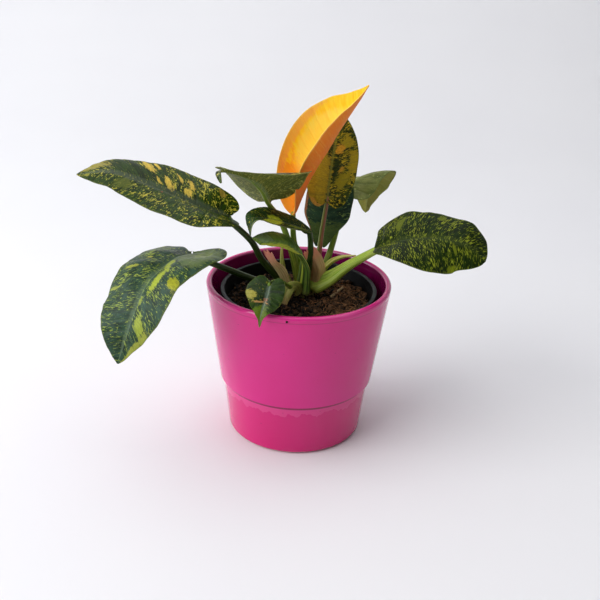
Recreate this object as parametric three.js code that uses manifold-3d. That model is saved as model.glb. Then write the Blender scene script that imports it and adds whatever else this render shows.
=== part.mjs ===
// A potted philodendron: a short stem with eleven leaves in a black nursery pot, which stands inside
// a glazed cover pot. Millimetres, +Z up, origin at the middle of the cover pot's flat base.
import * as THREE from 'three';
import { mergeVertices } from 'three/addons/utils/BufferGeometryUtils.js';
import Module from 'manifold-3d';

// Cover pot, a straight flared wall over a slightly narrower foot
const RIM_RADIUS = 70;
const POT_HEIGHT = 123;
const WALL = 4.5;
const FLOOR = 6;
const STEP_HEIGHT = 44.5;
const STEP_RADIUS = 59.5;
const STEP_DEPTH = 2.5;
const STEP_ROUND = 0.4;
const FOOT_RADIUS = 52.5;
const FOOT_ROUND = 4;
const INNER_ROUND = 3;

// Nursery pot, thin and black, standing on the cover pot's floor
const NURSERY_RIM_RADIUS = 59.5;
const NURSERY_BASE_RADIUS = 43;
const NURSERY_TOP = 116;
const NURSERY_WALL = 1.2;
const NURSERY_LIP = 2;
const NURSERY_LIP_HEIGHT = 5;
const NURSERY_ROUND = 0.6;
const NURSERY_BASE = FLOOR + 0.3;
const DRAIN_HOLES = 6;
const DRAIN_RADIUS = 4;
const DRAIN_RING_RADIUS = 27;

// Soil and the stem that stands in it
const SOIL_TOP = 105;
const SOIL_MOUND = 2;
const SOIL_UNEVEN = 0.8;
const STEM_RADIUS = 9;
const STEM_TOP = 120;
const STEM_BOTTOM = 72;
const STEM_TAPER = 2;
const STEM_HOLE_CLEARANCE = 0.8;
const STEM_CENTRE = new THREE.Vector2(3, 8);

// Clearance between pieces that touch on the real plant, the thickness of a leaf and of its rib, and
// the size below which an edge left by a cut is closed up
const GAP = 0.35;
const LEAF_THICKNESS = 0.8;
const RIB_DEPTH = 1.2;
const SLIVER = 0.05;

// Facets
const POT_SIDES = 64;
const NURSERY_SIDES = 48;
const STALK_SIDES = 8;
const BLADE_ROWS = 14;
const BLADE_COLUMNS = 4;
const BRACT_ROWS = 8;
const BRACT_COLUMNS = 2;

const COLOURS = {
  glaze: { color: '#c22a7c', roughness: 0.2 },
  plastic: { color: '#17191b', roughness: 0.5 },
  soil: { color: '#3a2418', roughness: 0.95 },
  variegated: { color: '#3f5a1d', roughness: 0.35 },
  newLeaf: { color: '#f0a428', roughness: 0.4 },
  greenStalk: { color: '#5f7f2a', roughness: 0.5 },
  darkStalk: { color: '#2c4416', roughness: 0.45 },
  pinkStalk: { color: '#a5674a', roughness: 0.5 },
  bract: { color: '#b58f5c', roughness: 0.6 },
};

// Blade outlines: each point is how far along the rib it lies, how far out from it, and where on the
// rib its side vein starts. Lengths are fractions of the blade's length and of its half width.
const OBLONG = [
  [0, 0.05, 0], [-0.05, 0.4, 0.02], [0, 0.76, 0.05], [0.14, 0.95, 0.11], [0.34, 1, 0.25],
  [0.54, 0.94, 0.42], [0.72, 0.75, 0.6], [0.86, 0.47, 0.77], [0.95, 0.2, 0.9], [1, 0.015, 1],
];
const ROUND = [
  [0, 0.05, 0], [-0.05, 0.42, 0.02], [0, 0.76, 0.05], [0.14, 0.92, 0.11], [0.34, 1, 0.25],
  [0.54, 1, 0.42], [0.74, 0.88, 0.6], [0.9, 0.6, 0.77], [0.98, 0.25, 0.9], [1, 0.015, 1],
];
const WEDGE = [
  [0, 0.05, 0], [0.03, 0.28, 0.02], [0.12, 0.6, 0.06], [0.26, 0.86, 0.15], [0.42, 1, 0.29],
  [0.58, 0.96, 0.44], [0.74, 0.74, 0.61], [0.87, 0.44, 0.78], [0.95, 0.18, 0.91], [1, 0.015, 1],
];
const HEART = [
  [0, 0.08, 0], [-0.12, 0.42, 0.02], [-0.08, 0.8, 0.05], [0.12, 1, 0.14], [0.34, 0.97, 0.28],
  [0.54, 0.74, 0.45], [0.7, 0.45, 0.62], [0.82, 0.22, 0.78], [0.92, 0.09, 0.9], [1, 0.015, 1],
];
const SHEATH = [
  [0, 0.9, 0], [0.2, 1, 0.2], [0.45, 0.9, 0.45], [0.7, 0.6, 0.7], [0.88, 0.3, 0.88], [1, 0.05, 1],
];

// The leaves, counted round the plant from the left. rib runs from the blade's base to its tip, face
// is where the upper side looks at the base and on to the tip. fold and curl are degrees that the
// right half rises at the rib and bends further out to its edge, seen from the base with the upper
// side up, from base to tip; foldLeft and curlLeft are the left half's where it differs. stalk leads
// on from the rib's base down to the stem, with its radius at both ends.
const LEAVES = {
  leaf_1: {
    rib: [[-51, -20, 177], [-72, -24, 186], [-99, -28, 199], [-130, -34, 212], [-153, -40, 211]],
    halfWidth: 27, outline: OBLONG, face: [[0.1, -0.25, 1], [0, -0.8, 1]],
    fold: [34, -22], foldLeft: [28, 12], curl: [-30, -25],
    stalk: [[-36, -12, 157], [-27, -4, 138], [-7, 5, 111]], radius: [2.3, 3.4],
    finish: 'variegated', stalkFinish: 'darkStalk',
  },
  leaf_2: {
    rib: [[-78, -22, 149], [-90, -38, 151], [-104, -56, 142], [-114, -72, 120], [-124, -78, 87]],
    halfWidth: 36, outline: OBLONG, face: [[0, -0.15, 1], [-0.5, -0.75, 0.5], [-0.3, -0.95, 0.1]],
    fold: [4, 0], foldLeft: [38, 12], curl: [-35, -25],
    stalk: [[-59, -14, 137], [-37, -6, 125], [-5, 2, 110]], radius: [2.3, 3.4],
    finish: 'variegated', stalkFinish: 'darkStalk',
  },
  leaf_3: {
    rib: [[-20, -58, 144], [-22, -66, 136], [-25, -72, 127], [-26, -76, 118]],
    halfWidth: 14, outline: HEART, face: [[0, -0.6, 0.8], [0, -1, 0.25]],
    fold: [14, 10], curl: [-30, -20],
    stalk: [[-14, -40, 138], [-8, -16, 124], [0, 2, 110]], radius: [1.2, 2],
    finish: 'variegated', stalkFinish: 'greenStalk',
  },
  leaf_4: {
    rib: [[-24, -8, 186], [-31, -26, 204], [-42, -46, 217], [-57, -64, 223]],
    halfWidth: 31, outline: HEART, face: [[-0.15, 0.5, 0.85], [-0.1, 0.1, 1]],
    fold: [50, 12], foldLeft: [28, 6], curl: [-20, -40], curlLeft: [-20, -100],
    stalk: [[-15, 12, 164], [-5, 12, 136], [0, 11, 112]], radius: [1.8, 3.2],
    finish: 'variegated', stalkFinish: 'greenStalk',
  },
  leaf_5: {
    rib: [[-7, 14, 169], [4, 21, 195], [20, 21, 225], [44, 10, 268]],
    halfWidth: 30, outline: WEDGE, face: [[-0.5, -1, 0.3], [-0.6, -1, 0.3]],
    fold: [50, 35], foldLeft: [20, 20], curl: [95, 70], curlLeft: [40, 10],
    stalk: [[-5, 17, 147], [0, 16, 128], [3, 11, 116]], radius: [2, 3.2],
    finish: 'newLeaf', stalkFinish: 'greenStalk',
  },
  leaf_6: {
    rib: [[8, -4, 163], [-6, -13, 171], [-24, -21, 178], [-35, -27, 179], [-36, -27, 166]],
    halfWidth: 14, outline: WEDGE, face: [[0, -0.4, 1], [-0.2, -0.4, 1], [-1, -0.4, 0.2]],
    fold: [10, 10], curl: [-20, -20],
    stalk: [[8, 1, 146], [7, 4, 130], [5, 6, 116]], radius: [2.2, 3.4],
    finish: 'variegated', stalkFinish: 'darkStalk',
  },
  leaf_7: {
    rib: [[2, -14, 149], [-9, -20, 159], [-22, -26, 163], [-34, -30, 166]],
    halfWidth: 12, outline: WEDGE, face: [[0, -0.2, 1], [-0.1, -0.3, 1]],
    fold: [20, 10], foldLeft: [-30, -40], curl: [-20, -20], curlLeft: [-110, -40],
    stalk: [[4, -8, 138], [4, -2, 123], [3, 1, 111]], radius: [2, 3.4],
    finish: 'variegated', stalkFinish: 'greenStalk',
  },
  leaf_8: {
    rib: [[19, 24, 176], [21, 32, 198], [24, 38, 221], [27, 44, 242]],
    halfWidth: 21, outline: OBLONG, face: [[0, -1, 0.3], [0, -1, 0.3]],
    fold: [6, 6], curl: [-20, -20],
    stalk: [[16, 26, 149], [14, 20, 129], [9, 13, 112]], radius: [1.8, 3],
    finish: 'variegated', stalkFinish: 'pinkStalk',
  },
  leaf_9: {
    rib: [[16, 34, 140], [19, 42, 160], [22, 50, 182], [27, 56, 207]],
    halfWidth: 17, outline: WEDGE, face: [[0, -1, 0.3], [0, -1, 0.3]],
    fold: [6, 6], curl: [-20, -20],
    stalk: [[13, 29, 127], [10, 22, 116], [6, 14, 110]], radius: [1.8, 2.8],
    finish: 'variegated', stalkFinish: 'pinkStalk',
  },
  leaf_10: {
    rib: [[34, 56, 175], [43, 70, 183], [54, 86, 176], [54, 94, 146]],
    halfWidth: 23, outline: OBLONG, face: [[0.2, 0, 1], [0.1, 0.8, 0.5], [0.1, 1, 0]],
    fold: [8, 8], curl: [-20, -20],
    stalk: [[29, 46, 150], [21, 32, 125], [9, 14, 110]], radius: [2.1, 3],
    finish: 'variegated', stalkFinish: 'greenStalk',
  },
  leaf_11: {
    rib: [[54, 0, 149], [75, -4, 159], [100, -8, 163], [121, -12, 158], [134, -16, 144]],
    halfWidth: 28, outline: ROUND, face: [[0, -0.6, 1], [0.2, -1, 0.6], [0.6, -1, 0.2]],
    fold: [50, 0], foldLeft: [-12, -26], curl: [-25, -18],
    stalk: [[38, 0, 136], [24, 2, 124], [8, 5, 114]], radius: [2.8, 5.8],
    finish: 'variegated', stalkFinish: 'greenStalk',
  },
};

// Papery bracts, the sheaths that new leaves grew out of
const BRACTS = {
  bract_1: {
    rib: [[-9, 0, 113], [-14, -6, 128], [-21, -10, 140], [-25, -12, 149]],
    halfWidth: 7, outline: SHEATH, face: [[0.8, 0.8, 0.4], [0.8, 0.8, 0.4]],
    fold: [5, 5], curl: [60, 30], finish: 'bract',
  },
  bract_2: {
    rib: [[13, 3, 114], [15, 3, 127], [12, 2, 137], [6, 0, 147]],
    halfWidth: 6.5, outline: SHEATH, face: [[-0.2, 1, 0], [-0.2, 1, 0]],
    fold: [5, 5], curl: [60, 30], finish: 'bract',
  },
  bract_3: {
    rib: [[15, 8, 117], [21, 10, 129], [31, 12, 136], [43, 15, 138]],
    halfWidth: 4.5, outline: SHEATH, face: [[-0.6, 0, 1], [-0.2, 0, 1]],
    fold: [20, 20], curl: [40, 30], finish: 'bract',
  },
  bract_4: {
    rib: [[-1, -3, 117], [-4, -8, 119], [-8, -11, 114], [-10, -13, 109]],
    halfWidth: 3.5, outline: SHEATH, face: [[0, -0.3, 1], [-0.4, -1, 0.3]],
    fold: [10, 10], curl: [-30, -30], finish: 'bract',
  },
  bract_5: {
    rib: [[-7, 9, 114], [-13, 11, 127], [-14, 10, 139], [-13, 8, 149]],
    halfWidth: 4, outline: SHEATH, face: [[0.8, 0.3, 0.4], [0.8, 0.3, 0.4]],
    fold: [5, 5], curl: [70, 40], finish: 'bract',
  },
};

const wasm = await Module();
wasm.setup();

const degrees = THREE.MathUtils.degToRad;

function vectors(points) {
  return points.map((point) => new THREE.Vector3(...point));
}

function spline(points) {
  return new THREE.CatmullRomCurve3(vectors(points), false, 'catmullrom', 0.5);
}

// The value at t of a list of numbers or vectors spread evenly from 0 to 1, eased from each to the next
function spread(list, t) {
  const place = THREE.MathUtils.clamp(t, 0, 1) * (list.length - 1);
  const index = Math.min(Math.floor(place), list.length - 2);
  const weight = THREE.MathUtils.smoothstep(place - index, 0, 1);
  const [from, to] = [list[index], list[index + 1]];
  return from.isVector3 ? from.clone().lerp(to, weight) : THREE.MathUtils.lerp(from, to, weight);
}

// A plain BufferGeometry from vertices and triangles
function facets(vertices, triangles) {
  const geometry = new THREE.BufferGeometry();
  geometry.setAttribute('position', new THREE.Float32BufferAttribute(vertices.flatMap((v) => v.toArray()), 3));
  geometry.setIndex(triangles.flat());
  return geometry;
}

function solidOf(geometry) {
  const bare = geometry.clone();
  bare.deleteAttribute('normal');
  bare.deleteAttribute('uv');
  const merged = mergeVertices(bare, 1e-4);
  const mesh = new wasm.Mesh({
    numProp: 3,
    vertProperties: new Float32Array(merged.attributes.position.array),
    triVerts: new Uint32Array(merged.index.array),
  });
  return new wasm.Manifold(mesh);
}

// The facets of a cut body, without the slivers that cutting leaves along its edges
function geometryOf(solid) {
  const mesh = solid.asOriginal().simplify(SLIVER).getMesh();
  const geometry = new THREE.BufferGeometry();
  geometry.setAttribute('position', new THREE.BufferAttribute(mesh.vertProperties, 3));
  geometry.setIndex(new THREE.BufferAttribute(mesh.triVerts, 1));
  geometry.computeVertexNormals();
  return geometry;
}

// The largest of the separate bodies that a cut leaves
function largestBody(solid) {
  return solid.decompose().reduce((best, body) => (body.volume() > best.volume() ? body : best));
}

// A turned body from an outline of [radius, height] points that starts and ends on the axis
function turned(outline, sides) {
  const points = outline.map(([radius, height]) => new THREE.Vector2(radius, height));
  return new THREE.LatheGeometry(points, sides).rotateX(Math.PI / 2);
}

// A quarter turn of [radius, height] points round a corner, from one angle to the next in degrees
function corner(radius, height, size, from, to, steps = 4) {
  return Array.from({ length: steps + 1 }, (_, index) => {
    const angle = degrees(THREE.MathUtils.lerp(from, to, index / steps));
    return [radius + size * Math.cos(angle), height + size * Math.sin(angle)];
  });
}

function coverPot() {
  const lip = WALL / 2;
  const innerStep = STEP_RADIUS - STEP_DEPTH - WALL;
  return turned([
    [0, 0],
    ...corner(FOOT_RADIUS - FOOT_ROUND, FOOT_ROUND, FOOT_ROUND, -90, 0),
    [STEP_RADIUS - STEP_DEPTH, STEP_HEIGHT],
    [STEP_RADIUS - STEP_ROUND, STEP_HEIGHT + STEP_ROUND],
    [STEP_RADIUS, STEP_HEIGHT + 1.5],
    ...corner(RIM_RADIUS - lip, POT_HEIGHT - lip, lip, 0, 180, 6),
    [STEP_RADIUS - WALL, STEP_HEIGHT + WALL],
    [innerStep, STEP_HEIGHT - WALL / 2],
    ...corner(FOOT_RADIUS - WALL - INNER_ROUND, FLOOR + INNER_ROUND, INNER_ROUND, 0, -90),
    [0, FLOOR],
  ], POT_SIDES);
}

// The nursery pot's inner radius at a height
function nurseryInner(height) {
  const rise = (height - NURSERY_BASE) / (NURSERY_TOP - NURSERY_BASE);
  const outer = THREE.MathUtils.lerp(NURSERY_BASE_RADIUS, NURSERY_RIM_RADIUS - NURSERY_LIP, rise);
  return outer - NURSERY_WALL;
}

function nurseryPot() {
  const under = NURSERY_TOP - NURSERY_LIP_HEIGHT;
  const shell = solidOf(turned([
    [0, NURSERY_BASE],
    [NURSERY_BASE_RADIUS, NURSERY_BASE],
    [nurseryInner(under) + NURSERY_WALL, under],
    [NURSERY_RIM_RADIUS, under + NURSERY_ROUND],
    [NURSERY_RIM_RADIUS, NURSERY_TOP - NURSERY_ROUND],
    [NURSERY_RIM_RADIUS - NURSERY_ROUND, NURSERY_TOP],
    [nurseryInner(NURSERY_TOP) + NURSERY_ROUND, NURSERY_TOP],
    [nurseryInner(NURSERY_TOP), NURSERY_TOP - NURSERY_ROUND],
    [nurseryInner(NURSERY_BASE), NURSERY_BASE + NURSERY_WALL],
    [0, NURSERY_BASE + NURSERY_WALL],
  ], NURSERY_SIDES));
  const holes = Array.from({ length: DRAIN_HOLES }, (_, index) => {
    const angle = (index / DRAIN_HOLES) * 2 * Math.PI;
    const depth = 4 * NURSERY_WALL;
    const hole = new THREE.CylinderGeometry(DRAIN_RADIUS, DRAIN_RADIUS, depth, 10).rotateX(Math.PI / 2);
    hole.translate(DRAIN_RING_RADIUS * Math.cos(angle), DRAIN_RING_RADIUS * Math.sin(angle), NURSERY_BASE);
    return solidOf(hole);
  });
  return geometryOf(holes.reduce((pot, hole) => pot.subtract(hole), shell));
}

// Soil that fills the nursery pot, a little uneven and mounded, with a plain hole for the stem
function soil() {
  const bottom = NURSERY_BASE + NURSERY_WALL + GAP;
  const rings = [1, 0.8, 0.6, 0.4, 0.2, 0];
  const top = rings.map((ring) => [nurseryInner(SOIL_TOP) * ring - (ring === 1 ? GAP : 0), SOIL_TOP]);
  const bed = turned([[0, bottom], [nurseryInner(bottom) - GAP, bottom], ...top], NURSERY_SIDES);
  const places = bed.attributes.position;
  for (let index = 0; index < places.count; index += 1) {
    const [x, y, z] = [places.getX(index), places.getY(index), places.getZ(index)];
    if (z < SOIL_TOP - 1) continue;
    const mound = SOIL_MOUND * (1 - (x * x + y * y) / (NURSERY_RIM_RADIUS * NURSERY_RIM_RADIUS));
    const uneven = Math.sin(x * 0.21 + 1) * Math.cos(y * 0.17 - 0.5) + 0.5 * Math.sin((x + y) * 0.36);
    places.setZ(index, z + mound + SOIL_UNEVEN * uneven);
  }
  const deep = SOIL_TOP + 10 - STEM_BOTTOM;
  const wide = STEM_RADIUS + STEM_HOLE_CLEARANCE;
  const hole = new THREE.CylinderGeometry(wide, wide, deep, 24).rotateX(Math.PI / 2);
  hole.translate(STEM_CENTRE.x, STEM_CENTRE.y, STEM_BOTTOM - GAP + deep / 2);
  return geometryOf(solidOf(bed).subtract(solidOf(hole)));
}

function stem() {
  return turned([
    [0, STEM_BOTTOM],
    [STEM_RADIUS - STEM_TAPER, STEM_BOTTOM],
    [STEM_RADIUS, STEM_BOTTOM + 12],
    [STEM_RADIUS, STEM_TOP - 14],
    [STEM_RADIUS - STEM_TAPER, STEM_TOP - 5],
    [0, STEM_TOP],
  ], 16).translate(STEM_CENTRE.x, STEM_CENTRE.y, 0);
}

// A leaf's closed stalk of round section, from the blade's base down. grow widens it and lengthens it
// past that base.
function stalk(leaf, grow = 0, steps = 12) {
  const [startRadius, endRadius] = leaf.radius;
  const path = spline([leaf.rib[0], ...leaf.stalk]);
  const [start, next] = path.points;
  start.addScaledVector(start.clone().sub(next).normalize(), grow);
  const frames = path.computeFrenetFrames(steps, false);
  const vertices = [];
  for (let step = 0; step <= steps; step += 1) {
    const centre = path.getPointAt(step / steps);
    const radius = THREE.MathUtils.lerp(startRadius, endRadius, step / steps) + grow;
    for (let side = 0; side < STALK_SIDES; side += 1) {
      const angle = (side / STALK_SIDES) * 2 * Math.PI;
      vertices.push(centre.clone()
        .addScaledVector(frames.normals[step], radius * Math.cos(angle))
        .addScaledVector(frames.binormals[step], radius * Math.sin(angle)));
    }
  }
  const ring = (step, side) => step * STALK_SIDES + (side % STALK_SIDES);
  const triangles = [];
  for (let step = 0; step < steps; step += 1) {
    for (let side = 0; side < STALK_SIDES; side += 1) {
      const [a, b] = [ring(step, side), ring(step, side + 1)];
      const [c, d] = [ring(step + 1, side), ring(step + 1, side + 1)];
      triangles.push([a, b, c], [b, d, c]);
    }
  }
  for (let side = 1; side < STALK_SIDES - 1; side += 1) {
    triangles.push([ring(0, 0), ring(0, side + 1), ring(0, side)]);
    triangles.push([ring(steps, 0), ring(steps, side), ring(steps, side + 1)]);
  }
  return facets(vertices, triangles);
}

// The upper side of a blade as rows of points from edge to edge. Rows follow the side veins, which
// leave the rib towards the tip.
function bladeRows(blade, rowCount, columnCount) {
  const rib = spline(blade.rib);
  const length = rib.getLength();
  const faces = vectors(blade.face);
  const outline = spline(blade.outline);

  function place(along, out) {
    const t = THREE.MathUtils.clamp(along / length, 0, 1);
    const tangent = rib.getTangentAt(t);
    const up = spread(faces, t);
    up.addScaledVector(tangent, -up.dot(tangent)).normalize();
    const right = new THREE.Vector3().crossVectors(tangent, up);
    const leftHalf = out < 0;
    const fold = degrees(spread((leftHalf && blade.foldLeft) || blade.fold, t));
    const curl = degrees(spread((leftHalf && blade.curlLeft) || blade.curl, t)) / blade.halfWidth;
    const reach = Math.abs(out);
    const bend = Math.abs(curl) < 1e-4 ? 1e-4 : curl;
    const across = (Math.sin(fold + bend * reach) - Math.sin(fold)) / bend;
    const rise = -(Math.cos(fold + bend * reach) - Math.cos(fold)) / bend;
    const overhang = along - t * length;
    return rib.getPointAt(t)
      .addScaledVector(tangent, overhang)
      .addScaledVector(right, leftHalf ? -across : across)
      .addScaledVector(up, rise);
  }

  const rows = [];
  for (let row = 0; row <= rowCount; row += 1) {
    const edge = outline.getPoint(row / rowCount);
    const points = [];
    for (let column = -columnCount; column <= columnCount; column += 1) {
      const share = Math.abs(column) / columnCount;
      const along = THREE.MathUtils.lerp(edge.z, edge.x, share ** 1.25) * length;
      points.push(place(along, (column / columnCount) * Math.max(edge.y, 0) * blade.halfWidth));
    }
    rows.push(points);
  }
  return rows;
}

// A closed sheet below rows of points, with the same triangles on both faces and a rib down its middle
function sheet(rows, thickness, ribDepth) {
  const width = rows[0].length;
  const at = (row, column) => row * width + column;
  const upper = [];
  for (let row = 0; row < rows.length - 1; row += 1) {
    for (let column = 0; column < width - 1; column += 1) {
      const [a, b] = [at(row, column), at(row, column + 1)];
      const [c, d] = [at(row + 1, column), at(row + 1, column + 1)];
      upper.push([a, b, c], [b, d, c]);
    }
  }
  const top = rows.flat();
  const skin = facets(top, upper);
  skin.computeVertexNormals();
  const normals = skin.attributes.normal;
  const middle = (width - 1) / 2;
  const bottom = top.map((point, index) => {
    const normal = new THREE.Vector3().fromBufferAttribute(normals, index);
    const along = Math.floor(index / width) / (rows.length - 1);
    const onRib = index % width === middle ? ribDepth * (1 - along) : 0;
    return point.clone().addScaledVector(normal, -(thickness + onRib));
  });
  const count = top.length;
  const lower = upper.map(([a, b, c]) => [a + count, c + count, b + count]);
  const border = [];
  for (let column = 0; column < width - 1; column += 1) border.push([at(0, column + 1), at(0, column)]);
  for (let row = 0; row < rows.length - 1; row += 1) border.push([at(row, 0), at(row + 1, 0)]);
  for (let column = 0; column < width - 1; column += 1) {
    border.push([at(rows.length - 1, column), at(rows.length - 1, column + 1)]);
  }
  for (let row = rows.length - 1; row > 0; row -= 1) {
    border.push([at(row, width - 1), at(row - 1, width - 1)]);
  }
  const edge = border.flatMap(([a, b]) => [[a, b, a + count], [b, b + count, a + count]]);
  return facets([...top, ...bottom], [...upper, ...lower, ...edge]);
}

const plant = new THREE.Group();

function addPiece(name, geometry, finish) {
  const { color, roughness } = COLOURS[finish];
  geometry.computeVertexNormals();
  const material = new THREE.MeshStandardMaterial({ color, roughness, metalness: 0 });
  const mesh = new THREE.Mesh(geometry, material);
  mesh.name = name;
  plant.add(mesh);
}

addPiece('cover_pot', coverPot(), 'glaze');
addPiece('nursery_pot', nurseryPot(), 'plastic');
addPiece('soil', soil(), 'soil');
addPiece('stem', stem(), 'greenStalk');

// Each stalk is cut back from the stem and from the stalks already standing
let standing = solidOf(stem().translate(-STEM_CENTRE.x, -STEM_CENTRE.y, 0)
  .scale(1 + GAP / STEM_RADIUS, 1 + GAP / STEM_RADIUS, 1)
  .translate(STEM_CENTRE.x, STEM_CENTRE.y, GAP));
for (const [name, leaf] of Object.entries(LEAVES)) {
  const body = largestBody(solidOf(stalk(leaf)).subtract(standing));
  addPiece(`${name}_stalk`, geometryOf(body), leaf.stalkFinish);
  standing = standing.add(solidOf(stalk(leaf, GAP)));
}
for (const [name, leaf] of Object.entries(LEAVES)) {
  const blade = sheet(bladeRows(leaf, BLADE_ROWS, BLADE_COLUMNS), LEAF_THICKNESS, RIB_DEPTH);
  const body = largestBody(solidOf(blade).subtract(solidOf(stalk(leaf, GAP))));
  addPiece(`${name}_blade`, geometryOf(body), leaf.finish);
}
for (const [name, bract] of Object.entries(BRACTS)) {
  const rows = bladeRows(bract, BRACT_ROWS, BRACT_COLUMNS);
  const blade = solidOf(sheet(rows, LEAF_THICKNESS, 0));
  addPiece(name, geometryOf(largestBody(blade.subtract(standing))), bract.finish);
  standing = standing.add(solidOf(sheet(rows, LEAF_THICKNESS + GAP, 0)));
}

export default plant;
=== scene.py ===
"""A potted variegated philodendron: eleven leaves on a short stem, in a black nursery pot inside a glazed cover pot.

Lengths are millimetres where no other unit is named, and are multiplied by MM. +Z is up, -Y is the front, and the
origin is the middle of the cover pot's base.
"""
import math
import random

import bpy
from mathutils import Matrix, Vector, noise


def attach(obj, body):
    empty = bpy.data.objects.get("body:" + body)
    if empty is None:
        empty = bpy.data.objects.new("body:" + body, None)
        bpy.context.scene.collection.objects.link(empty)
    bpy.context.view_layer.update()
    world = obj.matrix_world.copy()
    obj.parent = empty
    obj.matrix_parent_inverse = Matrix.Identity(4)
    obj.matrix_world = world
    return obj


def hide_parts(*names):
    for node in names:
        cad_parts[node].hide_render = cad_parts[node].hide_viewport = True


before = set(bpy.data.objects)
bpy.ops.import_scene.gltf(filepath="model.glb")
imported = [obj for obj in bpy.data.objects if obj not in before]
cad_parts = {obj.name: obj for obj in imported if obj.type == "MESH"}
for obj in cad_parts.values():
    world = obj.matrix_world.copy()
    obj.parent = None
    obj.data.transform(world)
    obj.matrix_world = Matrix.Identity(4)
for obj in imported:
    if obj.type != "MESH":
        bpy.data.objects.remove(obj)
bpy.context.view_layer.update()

MM = 0.001
FULL_TURN = 2 * math.pi
UPWARDS = Vector((0, 0, 1))
NEW_LEAF = "leaf_5"

# The photograph's camera: where it stands, its right and up directions, and its lens on a 36 mm sensor
CAMERA_PLACE = (0, -628.2, 389.7)
CAMERA_RIGHT = (0.99938, 0.01273, 0.03275)
CAMERA_UP = (-0.03508, 0.41228, 0.91038)
CAMERA_LENS = 54
CAMERA_SENSOR = 36

# Cover pot
RIM_RADIUS = 70
POT_HEIGHT = 123
WALL = 4.5
FLOOR = 6
STEP_HEIGHT = 44.5
STEP_RADIUS = 59.5
STEP_DEPTH = 2.5
STEP_ROUNDING = 1
STEP_EDGE = (0.9, 0.6)  # how far its underside is below STEP_HEIGHT, and its rounding's centre above
FOOT_RADIUS = 52.5
FOOT_ROUNDING = 4
FOOT_RING = 6
BASE_RECESS = 0.4
BARE_HEIGHT = 0.3
INNER_STEP = (2, 4)  # how far below and above STEP_HEIGHT the inner wall steps in
INNER_ROUNDING = 3
CENTRE_RADIUS = 2
LIP_LINE = 118.2
LIP_LINE_DEPTH = 0.15
LIP_LINE_EDGES = (0.7, 0.6)  # how far it reaches down and up
POT_SIDES = 192

# Where the glaze's colour changes, its painted reflection, shade and highlight too: heights or radii in mm, from the
# first to the second
FOOT_REFLECTION_TO_WALL = (STEP_HEIGHT - 6, STEP_HEIGHT + 0.5)
RUN_ENDS = (STEP_HEIGHT - 8.4, STEP_HEIGHT - 7.8)
RUN_SPREAD = 16
RUN_TOP = (STEP_HEIGHT - 1.4, STEP_HEIGHT - 1)
# Painted shadow under the step's overhang
STEP_SHADOW_LINE = STEP_HEIGHT - 2
RIM_EDGE = POT_HEIGHT - 0.9
# Painted shade inside the pot: how its edge leans, and the radii and heights where it begins
INNER_SHADE_LEAN = 0.13
INNER_SHADE_RADIUS = (RIM_RADIUS - 3.6, RIM_RADIUS - 2.9)
INNER_SHADE_FLOOR = (FLOOR, FLOOR + 4)
OUTSIDE_RADIUS = (67, 67.5)

# Nursery pot, soil and what lies on it
NURSERY_RIM_RADIUS = 59.5
NURSERY_BASE_RADIUS = 43
NURSERY_TOP = 116
NURSERY_BASE = 6.3
NURSERY_WALL = 1.2
NURSERY_LIP = 2
NURSERY_LIP_HEIGHT = 5
NURSERY_LIP_EDGE = (0.5, 0.6)  # its rounding, and how far above the lip's underside that has its centre
NURSERY_ROUNDING = 0.7
NURSERY_CHAMFER = (1, 0.6)
NURSERY_FLOOR_EDGE = 2
NURSERY_SIDES = 144
SOIL_TOP = 105
SOIL_MOUND = 2
SOIL_UNEVENNESS = 0.8
SOIL_WAVES = (0.21, 0.17, 0.36)  # across, in depth and along the diagonal, in radians to the mm
SOIL_LUMPS = [(0.45, 0, 1.1), (1.3, 5, 0.5)]  # how many to the mm, the slice of noise, and how high
SOIL_TOP_GAP = 0.3
SOIL_FOOT_GAP = 0.5
SOIL_FLOOR_GAP = 0.4
SOIL_BED_DROP = 0.6  # the bed lies a little below the crumbs
SOIL_RINGS = 44
SOIL_SIDES = 128
SOIL_LIGHT_FROM = -5  # painted light: the soil is lighter from this x towards the right
SOIL_LIGHT_RUN = 45
LITTER_SEED = 4
CRUMB_COUNT = 3400
CRUMB_SHAPES = 10
CRUMB_SIZES = (0.35, 0.5, 0.7, 0.9, 1.5)
CRUMB_MARGIN = 1.5
CRUMB_TONE = (0.12, 0.36, 0.2)  # the soil's own tone, how much painted light adds towards the right, and the scatter
FIBRE_COUNT = 520
FIBRE_MARGIN = 6
FIBRE_TONE = (0.3, 0.4, 0.22)
FIBRE_STEPS = 5
STUCK_CRUMB_ANGLE = -96
STUCK_CRUMB_HEIGHT = 119.8
STUCK_CRUMB_RADIUS = RIM_RADIUS + 0.1
STUCK_CRUMB_SIZE = 0.9
STUCK_CRUMB_TONE = 0.1
TWIG = [(25, 2), (35, 24)]  # where its ends lie
TWIG_LIFT = 1.3
TWIG_RADII = (1.25, 0.45)  # at its thick end, and how much it loses towards the other
TWIG_END = 0.05
TWIG_TONE = 0.5
TWIG_STEPS = 30
TWIG_SIDES = 12

# Stem: radii and heights
STEM_CENTRE = (3, 8)
STEM_CLEARANCE = 8
STEM_SIDES = 48
STEM_KNOBS = 0.5
STEM_GIRTH = 50
STEM_MAP_TURN = 6.3
STEM_MAP_HEIGHT = 120
STEM_OUTLINE = [(5, 74), (8.4, 84), (8.8, 100), (9, 106), (8.2, 112), (6.6, 116), (3, 119), (0.4, 119.6)]

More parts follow.
